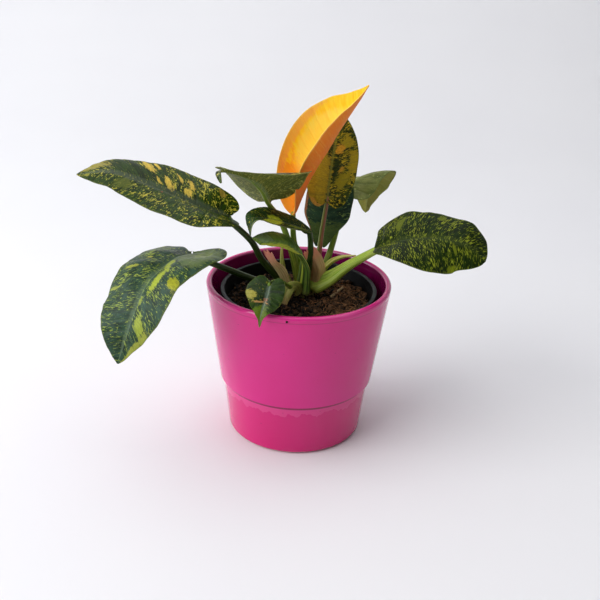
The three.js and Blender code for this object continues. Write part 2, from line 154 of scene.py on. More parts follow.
# Blades. t runs from 0 at the blade's base to 1 at its tip, s from 0 on the rib to 1 at the margin, -1 on the left
LEAF_THICKNESS = 0.75
MARGIN_THINNING = 0.45
BLADE_ROWS = 84
BLADE_COLUMNS = 22
COLUMN_CROWDING = 1.25
VEIN_SWEEP = 1.25
SIDE_VEINS = 13
VEIN_DEPTH = 0.16
LEFT_WAVE_SHIFT = 0.9
LEAST_BEND = 1e-4
RIB_DEPTH = 1.3
RIB_FADE = 0.8
RIB_HALF_WIDTH = 2.4
RIB_NARROWING = 1.4
GROOVE_DEPTH = 0.55
GROOVE_FADE = 0.7
GROOVE_WIDTH = 1.3
BASE_FADE = 0.04
TIP_FADE = 0.1
PUCKERS = [(9, 14, 1), (4, 6, 0.5)]  # their length and width in mm, and their share of the height
DEFAULT_PUCKER = 0.15
MAP_UNIT = 100  # mm for each unit of the layout map reach

# Stalks
STALK_SIDES = 20
STALK_STEPS = 72
STALK_RIBS = 9
RIB_HEIGHT = 0.035
LEAD_SHARE = 0.16
LONGEST_LEAD = 12
LEAD_DEPTHS = [(1, 0.5), (0.5, 0.8), (0, 0.85)]  # share of the lead, and how deep under the blade, in stalk radii
LEAD_TIP = 0.35
CHANNEL_DEPTH = 0.24
SHEATH_CHANNEL = 0.3
CHANNEL_ANGLE = 0.6
WELD = 0.01
FINE_WELD = 0.001

# Smooth lines
PATH_STEPS = 160
TANGENT_STEPS = 60

# Stage, in metres
FLOOR_FRONT = -1.6
FLOOR_DEPTH = 2.4
FLOOR_BEND = 0.8
FLOOR_RUN = 6
FLOOR_HALF_WIDTH = 3.2
FLOOR_DROP = 0.0002
FLOOR_ROWS = 60
FLOOR_COLUMNS = 2  # the middle line of vertices joins one side, so the floor is one strip
VIEW_DISTANCE = 30

# Soft lights: name, place, target and size in metres, power in watts, colour
SOFTBOXES = [
    ("window", (-1.6, -0.9, 1.2), (0, 0, 0.12), (1.9, 1.7), 41, (1, 0.99, 0.99)),
    ("left wall", (-1.5, 0.15, 0.55), (0, 0, 0.1), (1.1, 1.1), 9, (0.9, 0.94, 1)),
    ("ceiling", (0, 0.3, 1.9), (0, 0.3, 0.1), (2.4, 2.0), 20, (1, 1, 1)),
    ("fill", (1.8, -1.2, 0.9), (0, 0, 0.12), (1.2, 1.4), 2, (0.98, 0.99, 1)),
]
ROOM_COLOUR = (0.95, 0.96, 1, 1)
ROOM_STRENGTH = 0.12

# Outlines: each point is how far along the rib it lies, how far out from it, and where on the rib its side vein
# starts, as fractions of the blade's length and of its half width
OBLONG = [
    (0, 0.05, 0), (-0.05, 0.4, 0.02), (0, 0.76, 0.05), (0.14, 0.95, 0.11), (0.34, 1, 0.25),
    (0.54, 0.94, 0.42), (0.72, 0.75, 0.6), (0.86, 0.47, 0.77), (0.95, 0.2, 0.9), (1, 0.015, 1),
]
ROUND = [
    (0, 0.05, 0), (0.02, 0.36, 0.02), (0.03, 0.72, 0.05), (0.13, 0.93, 0.11), (0.34, 1, 0.25),
    (0.54, 1, 0.42), (0.74, 0.88, 0.6), (0.9, 0.6, 0.77), (0.98, 0.25, 0.9), (1, 0.015, 1),
]
WEDGE = [
    (0, 0.05, 0), (0.03, 0.28, 0.02), (0.12, 0.6, 0.06), (0.26, 0.86, 0.15), (0.42, 1, 0.29),
    (0.58, 0.96, 0.44), (0.74, 0.74, 0.61), (0.87, 0.44, 0.78), (0.95, 0.18, 0.91), (1, 0.015, 1),
]
HEART = [
    (0, 0.08, 0), (-0.12, 0.42, 0.02), (-0.08, 0.8, 0.05), (0.12, 1, 0.14), (0.34, 0.97, 0.28),
    (0.54, 0.74, 0.45), (0.7, 0.45, 0.62), (0.82, 0.22, 0.78), (0.92, 0.09, 0.9), (1, 0.015, 1),
]
SHEATH = [
    (0, 0.9, 0), (0.2, 1, 0.2), (0.45, 0.9, 0.45), (0.7, 0.6, 0.7), (0.88, 0.3, 0.88), (1, 0.05, 1),
]
TORN = [
    (0, 0.8, 0), (0.2, 1, 0.2), (0.45, 1.02, 0.45), (0.7, 0.98, 0.7), (0.88, 0.84, 0.88), (1, 0.6, 1),
]

# The leaves, as the frame has them. Every list is spread from the base to the tip.
# rib: points of the midrib. half_width: of the widest place. face: where the upper side looks.
# trim, trim_left: how much wider than the outline the right and the left half are.
# fold, fold_left: degrees that a half folds up at the rib. curl, curl_left: degrees that it bends further out.
# wave: height of the margin's waves, how many, and where the first starts. pucker: height of the swellings between
# the side veins. valley: depth of the valleys along them. dents: place (t, s), half size, and how far pressed in.
# torn: how far the ragged tip goes in and out.
# stalk: points from the blade's base to the stem. radius: at its two ends. lead: how far it runs on under the blade.
# sheath: where down the stalk its wings start, and how many times its width they are.
# stalk_look: the slot that the stalk has in the frame. stalk_paint: its finish, where that is another.
LEAVES = {
    "leaf_1": {
        "rib": [(-51, -20, 177), (-72, -24, 186), (-99, -28, 199), (-130, -34, 212), (-153, -40, 211)],
        "half_width": 27, "outline": OBLONG, "face": [(0.1, -0.25, 1), (0, -0.8, 1)],
        "trim": (0.86, 0.97, 1, 1, 0.98, 0.95, 1), "trim_left": (0.98, 1.12, 1, 0.88, 0.9, 1.08, 1.15),
        "fold": (34, -22), "fold_left": (28, 12), "curl": (-30, -25),
        "wave": (0.8, 2.5, 0.3), "pucker": 0.35,
        "stalk": [(-36, -12, 157), (-27, -4, 138), (-7, 5, 111)], "radius": (2.3, 3.4),
        "stalk_look": "dark_stalk",
    },
    "leaf_2": {
        "rib": [(-78, -22, 149), (-90, -38, 151), (-104, -56, 142), (-114, -72, 120), (-124, -78, 87)],
        "half_width": 36, "outline": OBLONG,
        "face": [(0, -0.15, 1), (-0.5, -0.75, 0.5), (-0.3, -0.95, 0.1)],
        "trim": (1, 1, 1.02, 1.06, 1.1, 1.14, 1.1), "trim_left": (1.3, 1.1, 0.98, 0.86, 0.72, 0.62, 0.8),
        "fold": (4, 0), "fold_left": (38, 12), "curl": (-35, -25),
        "wave": (1.2, 2.2, 2.0), "pucker": 0.8,
        "dents": [
            ((0.1, -0.5), (0.12, 0.42), 3.2), ((0.3, -0.14), (0.12, 0.22), 1.4),
            ((0.34, -0.75), (0.07, 0.4), -1.6), ((0.2, 0.5), (0.06, 0.5), 1.3),
            ((0.52, 0.3), (0.1, 0.3), -1.2),
        ],
        "stalk": [(-59, -14, 137), (-37, -6, 125), (-5, 2, 110)], "radius": (2.3, 3.4),
        "stalk_look": "dark_stalk",
    },
    "leaf_3": {
        "rib": [(-20, -58, 144), (-22, -66, 136), (-25, -72, 127), (-26, -76, 118)],
        "half_width": 14, "outline": HEART, "face": [(0, -0.6, 0.8), (0, -1, 0.25)],
        "trim": (0.8, 1.05, 1.12, 1.04, 0.8, 0.6, 1), "trim_left": (0.85, 0.84, 0.86, 0.84, 0.7, 0.6, 1),
        "fold": (14, 10), "curl": (-30, -20),
        "wave": (0.3, 2, 1.0), "pucker": 0.9, "valley": 0.05,
        "stalk": [(-14, -40, 138), (-8, -16, 124), (0, 2, 110)], "radius": (1.2, 2),
        "stalk_look": "green_stalk",
    },
    "leaf_4": {
        "rib": [(-24, -8, 186), (-31, -26, 204), (-42, -46, 217), (-54, -60.5, 222.8), (-53, -65, 216)],
        "half_width": 31, "outline": HEART,
        "face": [(-0.15, 0.5, 0.85), (-0.13, 0.34, 0.92), (-0.1, 0.12, 1), (-0.7, -0.4, 0.5)],
        "trim": (1, 1.1, 1.18, 1, 0.5, 0.6, 1.5), "trim_left": (1, 1.2, 1.15, 0.62, 0.25, 0.5, 1.5),
        "fold": (32, 12), "fold_left": (32, 12), "curl": (12, -20), "curl_left": (-14, -90),
        "wave": (0.6, 2, 0),
        "stalk": [(-15, 12, 164), (-5, 12, 136), (0, 11, 112)], "radius": (1.8, 3.2), "lead": 38,
        "stalk_look": "green_stalk",
    },
    "leaf_5": {
        "rib": [(-7, 14, 169), (4, 21, 195), (20, 21, 225), (44, 10, 268)],
        "half_width": 30, "outline": WEDGE, "face": [(-0.5, -1, 0.3), (-0.6, -1, 0.3)],
        "trim": (1, 1, 1, 0.98, 0.92, 0.75, 0.6), "trim_left": (1, 1, 1, 1, 0.94, 0.68, 0.5),
        "fold": (50, 43, 66), "fold_left": (20, 20), "curl": (95, 83, 90), "curl_left": (40, 10),
        "wave": (0.5, 1.5, 0),
        "stalk": [(-5, 17, 147), (0, 16, 128), (3, 11, 116)], "radius": (2, 3.2), "lead": 3,
        "stalk_look": "green_stalk",
    },
    "leaf_6": {
        "rib": [(8, -4, 163), (-6, -13, 171), (-24, -21, 178), (-35, -27, 179), (-36, -27, 166)],
        "half_width": 14, "outline": WEDGE, "face": [(0, -0.4, 1), (-0.2, -0.4, 1), (-1, -0.4, 0.2)],
        "trim_left": (0.72, 0.7, 0.8, 1, 1.15),
        "fold": (10, 10), "curl": (-20, -20), "curl_left": (10, 0),
        "wave": (0.5, 2, 0),
        "stalk": [(8, 1, 146), (7, 4, 130), (5, 6, 116)], "radius": (2.2, 3.4),
        "stalk_look": "dark_stalk",
    },
    "leaf_7": {
        "rib": [(2, -14, 149), (-9, -20, 159), (-22, -26, 163), (-34, -30, 166)],
        "half_width": 12, "outline": WEDGE, "face": [(0, -0.2, 1), (-0.1, -0.3, 1)],
        "trim_left": (0.5, 0.42, 0.36, 0.45, 0.8, 1),
        "fold": (20, 10), "fold_left": (-30, -40), "curl": (-20, -20), "curl_left": (-110, -40),
        "wave": (0.4, 2, 0),
        "stalk": [(4, -8, 138), (4, -2, 123), (3, 1, 111)], "radius": (2, 3.4), "sheath": (0.15, 3.1),
        "stalk_look": "green_stalk", "stalk_paint": "striped_stalk",
    },
    "leaf_8": {
        "rib": [(19, 24, 176), (21, 32, 198), (24, 38, 221), (27, 44, 242)],
        "half_width": 21, "outline": OBLONG, "face": [(0, -1, 0.3), (0, -1, 0.3)],
        "trim": (0.8, 0.95, 1, 1.02, 1), "trim_left": (0.75, 0.92, 1, 1, 1),
        "fold": (6, 6), "curl": (-20, -20),
        "wave": (0.5, 2, 0), "pucker": 0.3,
        "stalk": [(16, 26, 149), (14, 20, 129), (9, 13, 112)], "radius": (1.6, 2.7),
        "stalk_look": "pink_stalk",
    },
    "leaf_9": {
        "rib": [(16, 34, 140), (19, 42, 160), (22, 50, 182), (27, 56, 207)],
        "half_width": 17, "outline": OBLONG, "face": [(0, -1, 0.3), (0, -1, 0.3)],
        "trim": (0.4, 1.15, 1.3, 1.2, 1), "trim_left": (0.4, 1.02, 1.1, 1.1, 1),
        "fold": (6, 6), "curl": (-20, -20),
        "wave": (0.5, 2, 0), "pucker": 0.3,
        "stalk": [(13, 29, 127), (10, 22, 116), (6, 14, 110)], "radius": (1.8, 2.8),
        "stalk_look": "pink_stalk",
    },
    "leaf_10": {
        "rib": [(34, 56, 175), (43, 70, 183), (54, 86, 176), (54, 94, 146)],
        "half_width": 23, "outline": OBLONG, "face": [(0.2, 0, 1), (0.1, 0.8, 0.5), (0.1, 1, 0)],
        "trim": (1, 1, 1.22, 0.86, 0.6, 0.5, 1), "trim_left": (1, 1, 0.9, 0.8, 0.7, 0.7, 1),
        "fold": (8, 8), "curl": (-20, -20),
        "wave": (0.5, 2, 0), "pucker": 0.3,
        "stalk": [(29, 46, 150), (21, 32, 125), (9, 14, 110)], "radius": (2.1, 3),
        "stalk_look": "green_stalk",
    },
    "leaf_11": {
        "rib": [(55.5, 0, 149.6), (75, -4, 159), (100, -8, 163), (121, -12, 159), (136, -15, 148)],
        "half_width": 28, "outline": ROUND, "face": [(0, -0.6, 1), (0.2, -1, 0.6), (0.6, -1, 0.2)],
        "trim": (0.8, 1, 1, 1, 1, 0.96, 0.9), "trim_left": (1.35, 1.15, 0.84, 0.84, 1.06, 1.3, 1.3),
        "fold": (50, 0), "fold_left": (-12, -26), "curl": (-25, -18),
        "wave": (0.7, 2.2, 0.6), "pucker": 0.4,
        "stalk": [(38, 0, 136), (24, 2, 124), (8, 5, 114)], "radius": (2.9, 6.4), "sheath": (0.45, 1.35),
        "stalk_look": "green_stalk", "stalk_paint": "bright_stalk",
    },
}
BRACTS = {
    "bract_1": {
        "rib": [(-9, 0, 113), (-14, -6, 128), (-21, -10, 140), (-25, -12, 149)],
        "half_width": 6.6, "outline": TORN, "face": [(0.8, 0.8, 0.4), (0.8, 0.8, 0.4)],
        "fold": (5, 5), "curl": (60, 30),
        "wave": (0.9, 2, 0), "torn": 5,
    },
    "bract_2": {
        "rib": [(13, 3, 114), (15, 3, 127), (12, 2, 137), (6, 0, 147)],
        "half_width": 6.4, "outline": TORN, "face": [(-0.2, 1, 0), (-0.2, 1, 0)],
        "fold": (5, 5), "curl": (60, 30),
        "wave": (0.7, 2, 0), "torn": 4,
    },
    "bract_3": {
        "rib": [(15, 8, 117), (21, 10, 129), (31, 12, 136), (43, 15, 138)],
        "half_width": 4.5, "outline": SHEATH, "face": [(-0.6, 0, 1), (-0.2, 0, 1)],
        "fold": (20, 20), "curl": (40, 30),
        "wave": (0.3, 2, 0),
    },
    "bract_4": {
        "rib": [(1.5, -5, 113), (-1, -8.5, 120), (-6, -12, 121.5), (-9.5, -15, 116), (-11, -16.5, 108.5)],
        "half_width": 4.4, "outline": TORN, "face": [(0.6, -1, 0.3), (0, -0.8, 0.8), (-0.4, -1, 0.3)],
        "fold": (10, 10), "curl": (-50, -40),
        "wave": (0.5, 2, 0), "torn": 3,
    },
    "bract_5": {
        "rib": [(-7, 9, 114), (-13, 11, 127), (-14, 10, 139), (-13, 8, 149)],
        "half_width": 4, "outline": SHEATH, "face": [(0.8, 0.3, 0.4), (0.8, 0.3, 0.4)],
        "fold": (5, 5), "curl": (70, 40),
        "wave": (0.3, 2, 0),
    },
}


# Shader helpers

def rgb(red, green, blue):
    """A colour of 0 to 255 display values as the linear colour that a socket takes, by the sRGB curve."""
    def linear(value):
        share = value / 255
        return share / 12.92 if share <= 0.04045 else ((share + 0.055) / 1.055) ** 2.4
    return (linear(red), linear(green), linear(blue), 1)


class Wire:
    """An output of a shader node, which Python's own operators join to numbers and other wires."""

    def __init__(self, finish, socket):
        self.finish = finish
        self.socket = socket

    def out(self, name):
        return Wire(self.finish, self.socket.node.outputs[name])

    def math(self, operation, *others):
        return self.finish.node("ShaderNodeMath", {"operation": operation}, self, *others)

    def __add__(self, other):
        return self.math("ADD", other)

    def __sub__(self, other):
        return self.math("SUBTRACT", other)

    def __rsub__(self, other):
        return self.finish.node("ShaderNodeMath", {"operation": "SUBTRACT"}, other, self)

    def __mul__(self, other):
        return self.math("MULTIPLY", other)

    def __truediv__(self, other):
        return self.math("DIVIDE", other)

    def __pow__(self, other):
        return self.math("POWER", other)

    def __abs__(self):
        return self.math("ABSOLUTE")

    __radd__ = __add__
    __rmul__ = __mul__


class Finish:
    """A material under construction, ending in one Principled surface."""

    def __init__(self, name):
        self.material = bpy.data.materials.new(name)
        self.material.use_nodes = True
        self.tree = self.material.node_tree
        self.surface = self.tree.nodes["Principled BSDF"]

    def node(self, kind, settings=None, *values, **named):
        """Adds a node: its settings first, then values or wires for its sockets by place or by name."""
        made = self.tree.nodes.new(kind)
        for key, value in (settings or {}).items():
            setattr(made, key, value)
        sockets = dict(enumerate(values))
        sockets.update({key.replace("_", " "): value for key, value in named.items()})
        for key, value in sockets.items():
            self.set(made.inputs[key], value)
        return Wire(self, made.outputs[0])

    def set(self, socket, value):
        if isinstance(value, Wire):
            self.tree.links.new(value.socket, socket)
        elif value is not None:
            socket.default_value = value

    def mix(self, share, low, high):
        """A colour between two, by a share from 0 to 1."""
        node = self.node("ShaderNodeMix", {"data_type": "RGBA"}, share).socket.node
        for name, colour in (("A_Color", low), ("B_Color", high)):
            self.set(next(socket for socket in node.inputs if socket.identifier == name), colour)
        return Wire(self, next(socket for socket in node.outputs if socket.identifier == "Result_Color"))

    def between(self, value, low, high, start=0, end=1):
        """A smooth step from start to end as value goes from low to high."""
        settings = {"interpolation_type": "SMOOTHSTEP"}
        return self.node("ShaderNodeMapRange", settings, value, low, high, start, end)

    def noise(self, vector, scale, detail=2, roughness=0.5):
        return self.node("ShaderNodeTexNoise", None, Vector=vector, Scale=scale, Detail=detail, Roughness=roughness)

    def stretched(self, vector, scale, place=(0, 0, 0)):
        """A vector moved and then scaled by its own factor on each axis."""
        moved = self.node("ShaderNodeVectorMath", {"operation": "ADD"}, vector, place)
        return self.node("ShaderNodeVectorMath", {"operation": "MULTIPLY"}, moved, scale)

    def drawn(self, reach, size, detail, roughness=0.5, place=(0, 0, 0)):
        """Noise on the layout map reach, in marks of about a size in mm along each of the map's two axes."""
        scale = (MAP_UNIT / size[0], MAP_UNIT / size[1], 1)
        return self.noise(self.stretched(reach, scale, place), 1, detail, roughness)

    def place(self):
        """The place on the object, in metres."""
        return self.node("ShaderNodeTexCoord").out("Object")

    def layout(self, name):
        """A UV map of the piece, as a vector."""
        return self.node("ShaderNodeUVMap", {"uv_map": name})

    def parts(self, vector):
        split = self.node("ShaderNodeSeparateXYZ", None, vector)
        return split, split.out("Y"), split.out("Z")

    def bump(self, height, depth, strength=1, under=None):
        """A normal that a height from 0 to 1 raises by depth metres."""
        return self.node("ShaderNodeBump", None, Strength=strength, Distance=depth, Height=height, Normal=under)

    def done(self, **sockets):
        for key, value in sockets.items():
            self.set(self.surface.inputs[key.replace("_", " ")], value)
        return self.material


# Pot materials

def glaze():
    """Thick magenta glaze, thinner and paler on the rim with a painted highlight there, with a soft unevenness and
    fine pinholes. Painted shade darkens the inside, a line under the step and the groove under the rim; the foot's
    deeper colour is a painted reflection.
    """
    paint = Finish("magenta glaze")
    place = paint.place()
    x, y, z = paint.parts(place)
    radius = (x * x + y * y) ** 0.5 / MM
    height = z / MM
    cloud = paint.noise(place, scale=22, detail=3, roughness=0.55)
    grain = paint.noise(place, scale=900)
    wall = paint.mix(cloud, rgb(206, 12, 118), rgb(216, 20, 134))
    # Painted reflection: the foot is a deeper magenta than the wall, as if it mirrored a dark stand under the pot
    foot = paint.mix(cloud, rgb(198, 0, 102), rgb(210, 2, 116))
    body = paint.mix(paint.between(height, *FOOT_REFLECTION_TO_WALL), foot, wall)

    drips = paint.noise(paint.stretched(place, (1, 1, 0.08)), scale=130, roughness=0.6)
    thin = paint.between(height - (drips - 0.5) * RUN_SPREAD, *RUN_ENDS)
    thin = thin * paint.between(height, *RUN_TOP, start=1, end=0)
    body = paint.mix(thin * 0.3, body, rgb(234, 92, 162))

    # Painted shade: the glaze is darker on the inner wall and floor
    inside = paint.between(radius - (height - POT_HEIGHT) * INNER_SHADE_LEAN, *INNER_SHADE_RADIUS, start=1, end=0)
    inside = inside * paint.between(height, *INNER_SHADE_FLOOR)
    body = paint.mix(inside, body, rgb(108, 4, 66))
    # Paler along the top of the rim: partly thinner glaze, partly a painted highlight
    edge = paint.between(abs(height - RIM_EDGE), 0, 1.1, start=1, end=0)
    body = paint.mix(edge * paint.between(cloud, 0.35, 0.6, start=0.35, end=0.75), body, rgb(226, 92, 158))

    # Painted shadow: a dark line just under the step's overhang
    step_shadow = paint.between(abs(height - STEP_SHADOW_LINE), 0.5, 1.4, start=0.9, end=0)
    # Painted shade: a dark line in the shallow groove under the rim
    groove_shade = paint.between(abs(height - LIP_LINE), 0.1, 0.6, start=0.4, end=0)
    groove_shade = groove_shade * paint.between(radius, *OUTSIDE_RADIUS)
    body = paint.mix(step_shadow.math("MAXIMUM", groove_shade), body, rgb(116, 4, 54))
    pinhole = paint.between(paint.noise(place, scale=420, detail=1), 0.77, 0.8)
    body = paint.mix(pinhole * 0.6, body, rgb(110, 8, 60))

    ripple = paint.noise(paint.stretched(place, (1, 1, 0.5)), scale=45)
    normal = paint.bump(ripple, depth=0.0006, strength=0.35)
    normal = paint.bump(grain, depth=0.00004, strength=0.3, under=normal)
    return paint.done(Base_Color=body, Roughness=paint.between(cloud, 0.3, 0.7, start=0.11, end=0.17),
                      Normal=normal, IOR=1.5, Coat_Weight=0.15, Coat_Roughness=0.04)


def bare_clay():
    """The unglazed ring that the pot stands on."""
    paint = Finish("bare clay")
    speck = paint.noise(paint.place(), scale=700, detail=3)
    body = paint.mix(speck, rgb(176, 120, 120), rgb(214, 168, 160))
    return paint.done(Base_Color=body, Roughness=0.85, Normal=paint.bump(speck, depth=0.0001, strength=0.5))


def nursery_plastic():
    """Thin black moulded plastic, dusty and scuffed grey along its rim."""
    paint = Finish("black plastic")
    place = paint.place()
    x, y, z = paint.parts(place)
    cloud = paint.noise(place, scale=60, detail=4, roughness=0.6)
    scuff = paint.noise(paint.stretched(place, (1, 1, 6)), scale=260, detail=3, roughness=0.7)
    wear = paint.noise(place, scale=24)
    worn = paint.between(z / MM, NURSERY_TOP - NURSERY_ROUNDING / 2, NURSERY_TOP)
    worn = worn * paint.between(scuff + wear, 0.9, 1.1)
    dust = paint.between(cloud, 0.5, 0.75)
    body = paint.mix(dust * 0.3, rgb(5, 6, 7), rgb(26, 25, 23))
    body = paint.mix(worn * 0.4, body, rgb(84, 92, 92))
    return paint.done(Base_Color=body, Roughness=paint.between(scuff, 0.3, 0.7, start=0.42, end=0.6),
                      Specular_IOR_Level=0.25, Normal=paint.bump(scuff, depth=0.0001, strength=0.4))


def soil_finish(name, dark, light, scale=900):
    """Peat, coir or dry wood. Each crumb's tone comes from its own attribute, with a fine grain over it."""
    paint = Finish(name)
    tone = paint.node("ShaderNodeAttribute", {"attribute_name": "tone"}).out("Fac")
    grain = paint.noise(paint.place(), scale, detail=4, roughness=0.7)
    body = paint.mix(paint.between(tone + (grain - 0.5) * 0.6, 0, 1), dark, light)
    return paint.done(Base_Color=body, Roughness=0.92, Specular_IOR_Level=0.25,
                      Normal=paint.bump(grain, depth=0.0004, strength=0.8))


# Plant materials

def away(t, s, spot):
    """How far a place is from the middle of a spot, squared, in its half sizes along t and s."""
    (middle_t, middle_s), (half_t, half_s) = spot
    return ((t - middle_t) / half_t) ** 2 + ((s - middle_s) / half_s) ** 2


def patch(paint, t, s, mark, ragged, fine, rag=1):
    """1 inside a ragged patch, 0 outside. The streaks break up its edge, more so with a higher rag."""
    inside = 1 - away(t, s, mark) ** 0.5 + (ragged - 0.5) * (2.4 * rag) + (fine - 0.5) * (1.6 * rag)
    return paint.between(inside, 0, 0.3 - 0.14 * rag)


def leaf_finish(name, look, under=False):
    """A marbled blade. The layout map veins gives the place along the rib where the side vein starts, and how far
    out from the rib, both as shares; reach gives the same two in units of 100 mm."""
    paint = Finish(name)
    reach = paint.layout("reach")
    t, v, _ = paint.parts(paint.layout("veins"))
    s = v * 2 - 1
    out = abs(s)
    seed = look["seed"]

    def streaks(size, shift, detail, roughness):
        start = seed + shift
        return paint.drawn(reach, size, detail, roughness, (start, start * 0.7, start * 0.3))

    fine = streaks(look["fine"], 0, *look["fine_detail"])
    coarse = streaks(look["coarse"], 5, 4, 0.66)
    ragged = streaks((2.4, 6.5), 9, 4, 0.7)
    cloud = paint.noise(reach, scale=7)
    tone = paint.drawn(reach, (2.5, 9), 3, 0.6, (seed, 3, 0))

    # Green ground, flecks, brighter flecks inside them and large blots
    body = paint.mix(paint.between(tone * 0.6 + cloud * 0.4, 0.36, 0.64), look["dark"], look["green"])
    mottled = fine + (coarse - 0.5) * 0.45 - (cloud - 0.5) * 0.3
    for *spot, change in look["thin"]:
        mottled = mottled + paint.between(away(t, s, spot), 0, 1, start=change, end=0)
    level = look["flecks"]
    body = paint.mix(paint.between(mottled, level, level + 0.045) * look["fleck_share"], body, look["fleck"])
    level += look["bright_gap"]
    body = paint.mix(paint.between(mottled, level, level + 0.04) * look["bright"], body, look["bright_fleck"])
    level = look["blots"]
    body = paint.mix(paint.between(coarse + (fine - 0.5) * 0.3, level, level + 0.03), body, look["blot"])
    for colour, share, mark, *rag in look["marks"]:
        deep = [part * look["mark_depth"] for part in colour[:3]] + [1]
        shaded = paint.mix(paint.between(fine, 0.35, 0.65), colour, deep)
        body = paint.mix(patch(paint, t, s, mark, ragged, fine, *rag) * share, body, shaded)

    # Side veins, the midrib with a painted sheen along it, underside and margin
    vein = ((t * (SIDE_VEINS * FULL_TURN)).math("COSINE") * 0.5 + 0.5) ** 20
    body = paint.mix(vein * look["vein_share"], body, look["vein"])
    # The band along the midrib is partly its paler colour and partly a painted sheen on the upper side
    width = look["rib_and_sheen_width"]
    narrowed = out * paint.between(t, 0.3, 1, start=1, end=0.6)
    midrib_and_sheen = paint.between(narrowed + (coarse - 0.5) * width * 0.8, width * 0.3, width, start=1, end=0)
    body = paint.mix(midrib_and_sheen * look["rib_and_sheen_share"], body, look["rib"])
    if under:
        body = paint.mix(look["under_share"], body, look["under"])
        body = paint.mix(midrib_and_sheen * 0.6, body, look["rib"])
        body = paint.mix(vein * look["under_vein"], body, look["rib"])
        body = paint.mix(paint.between(fine, 0.54, 0.6) * look["under_fleck"], body, look["fleck"])
    body = paint.mix(paint.between(out, 0.955, 0.985) * look["margin_share"], body, look["margin"])

    quilt = paint.drawn(reach, (1.6, 2.6), 2)
    gloss = look["roughness"] + (0.2 if under else 0)
    return paint.done(Base_Color=body, Roughness=paint.between(quilt, 0.3, 0.7, gloss - 0.05, gloss + 0.08),
                      Normal=paint.bump(vein * -0.7 + quilt * 0.5, depth=0.0004, strength=0.5), IOR=1.42,
                      Specular_IOR_Level=0.2 if under else look["shine"], Subsurface_Weight=look["glow"],
                      Subsurface_Radius=(0.0012, 0.0018, 0.0005), Subsurface_Scale=1)


# How the leaves are marked. dark and green make the ground, fleck, bright_fleck and blot the marbling over it.
# flecks, bright_gap and blots: levels of the noise at which each begins. fleck_share, bright: how strong they are.
# fine, coarse: the streaks' size across and along the side veins, in mm. fine_detail: their detail and roughness.
# marks: patches of colour, strength, place (t, s) and half size, and how ragged. mark_depth: their darker streaks.
# thin: places and half sizes where flecks are fewer or more, and by how much.
# The rest are widths and strengths of the rib band with its painted sheen, the veins, margin and underside, and the
# surface's own values.
PLAIN_LOOK = dict(
    flecks=0.55, fleck_share=0.9, bright=0.7, bright_gap=0.045, blots=0.7, fine=(0.8, 1.9), fine_detail=(3, 0.66),
    coarse=(3, 8), vein_share=0.16, rib_and_sheen_width=0.05, rib_and_sheen_share=0.6, margin_share=0.6, under_share=0.6,
    under_vein=0.3, under_fleck=0.3, roughness=0.38, shine=0.3, glow=0.06, mark_depth=0.66, marks=(), thin=(),
)
GREEN_LOOK = dict(
    PLAIN_LOOK,
    dark=rgb(14, 27, 4), green=rgb(38, 56, 10), fleck=rgb(104, 112, 24), bright_fleck=rgb(186, 172, 56),
    blot=rgb(206, 164, 52), vein=rgb(70, 86, 40), rib=rgb(92, 104, 84), margin=rgb(84, 96, 30),
    under=rgb(92, 104, 44),
)
GOLD = rgb(236, 204, 80)
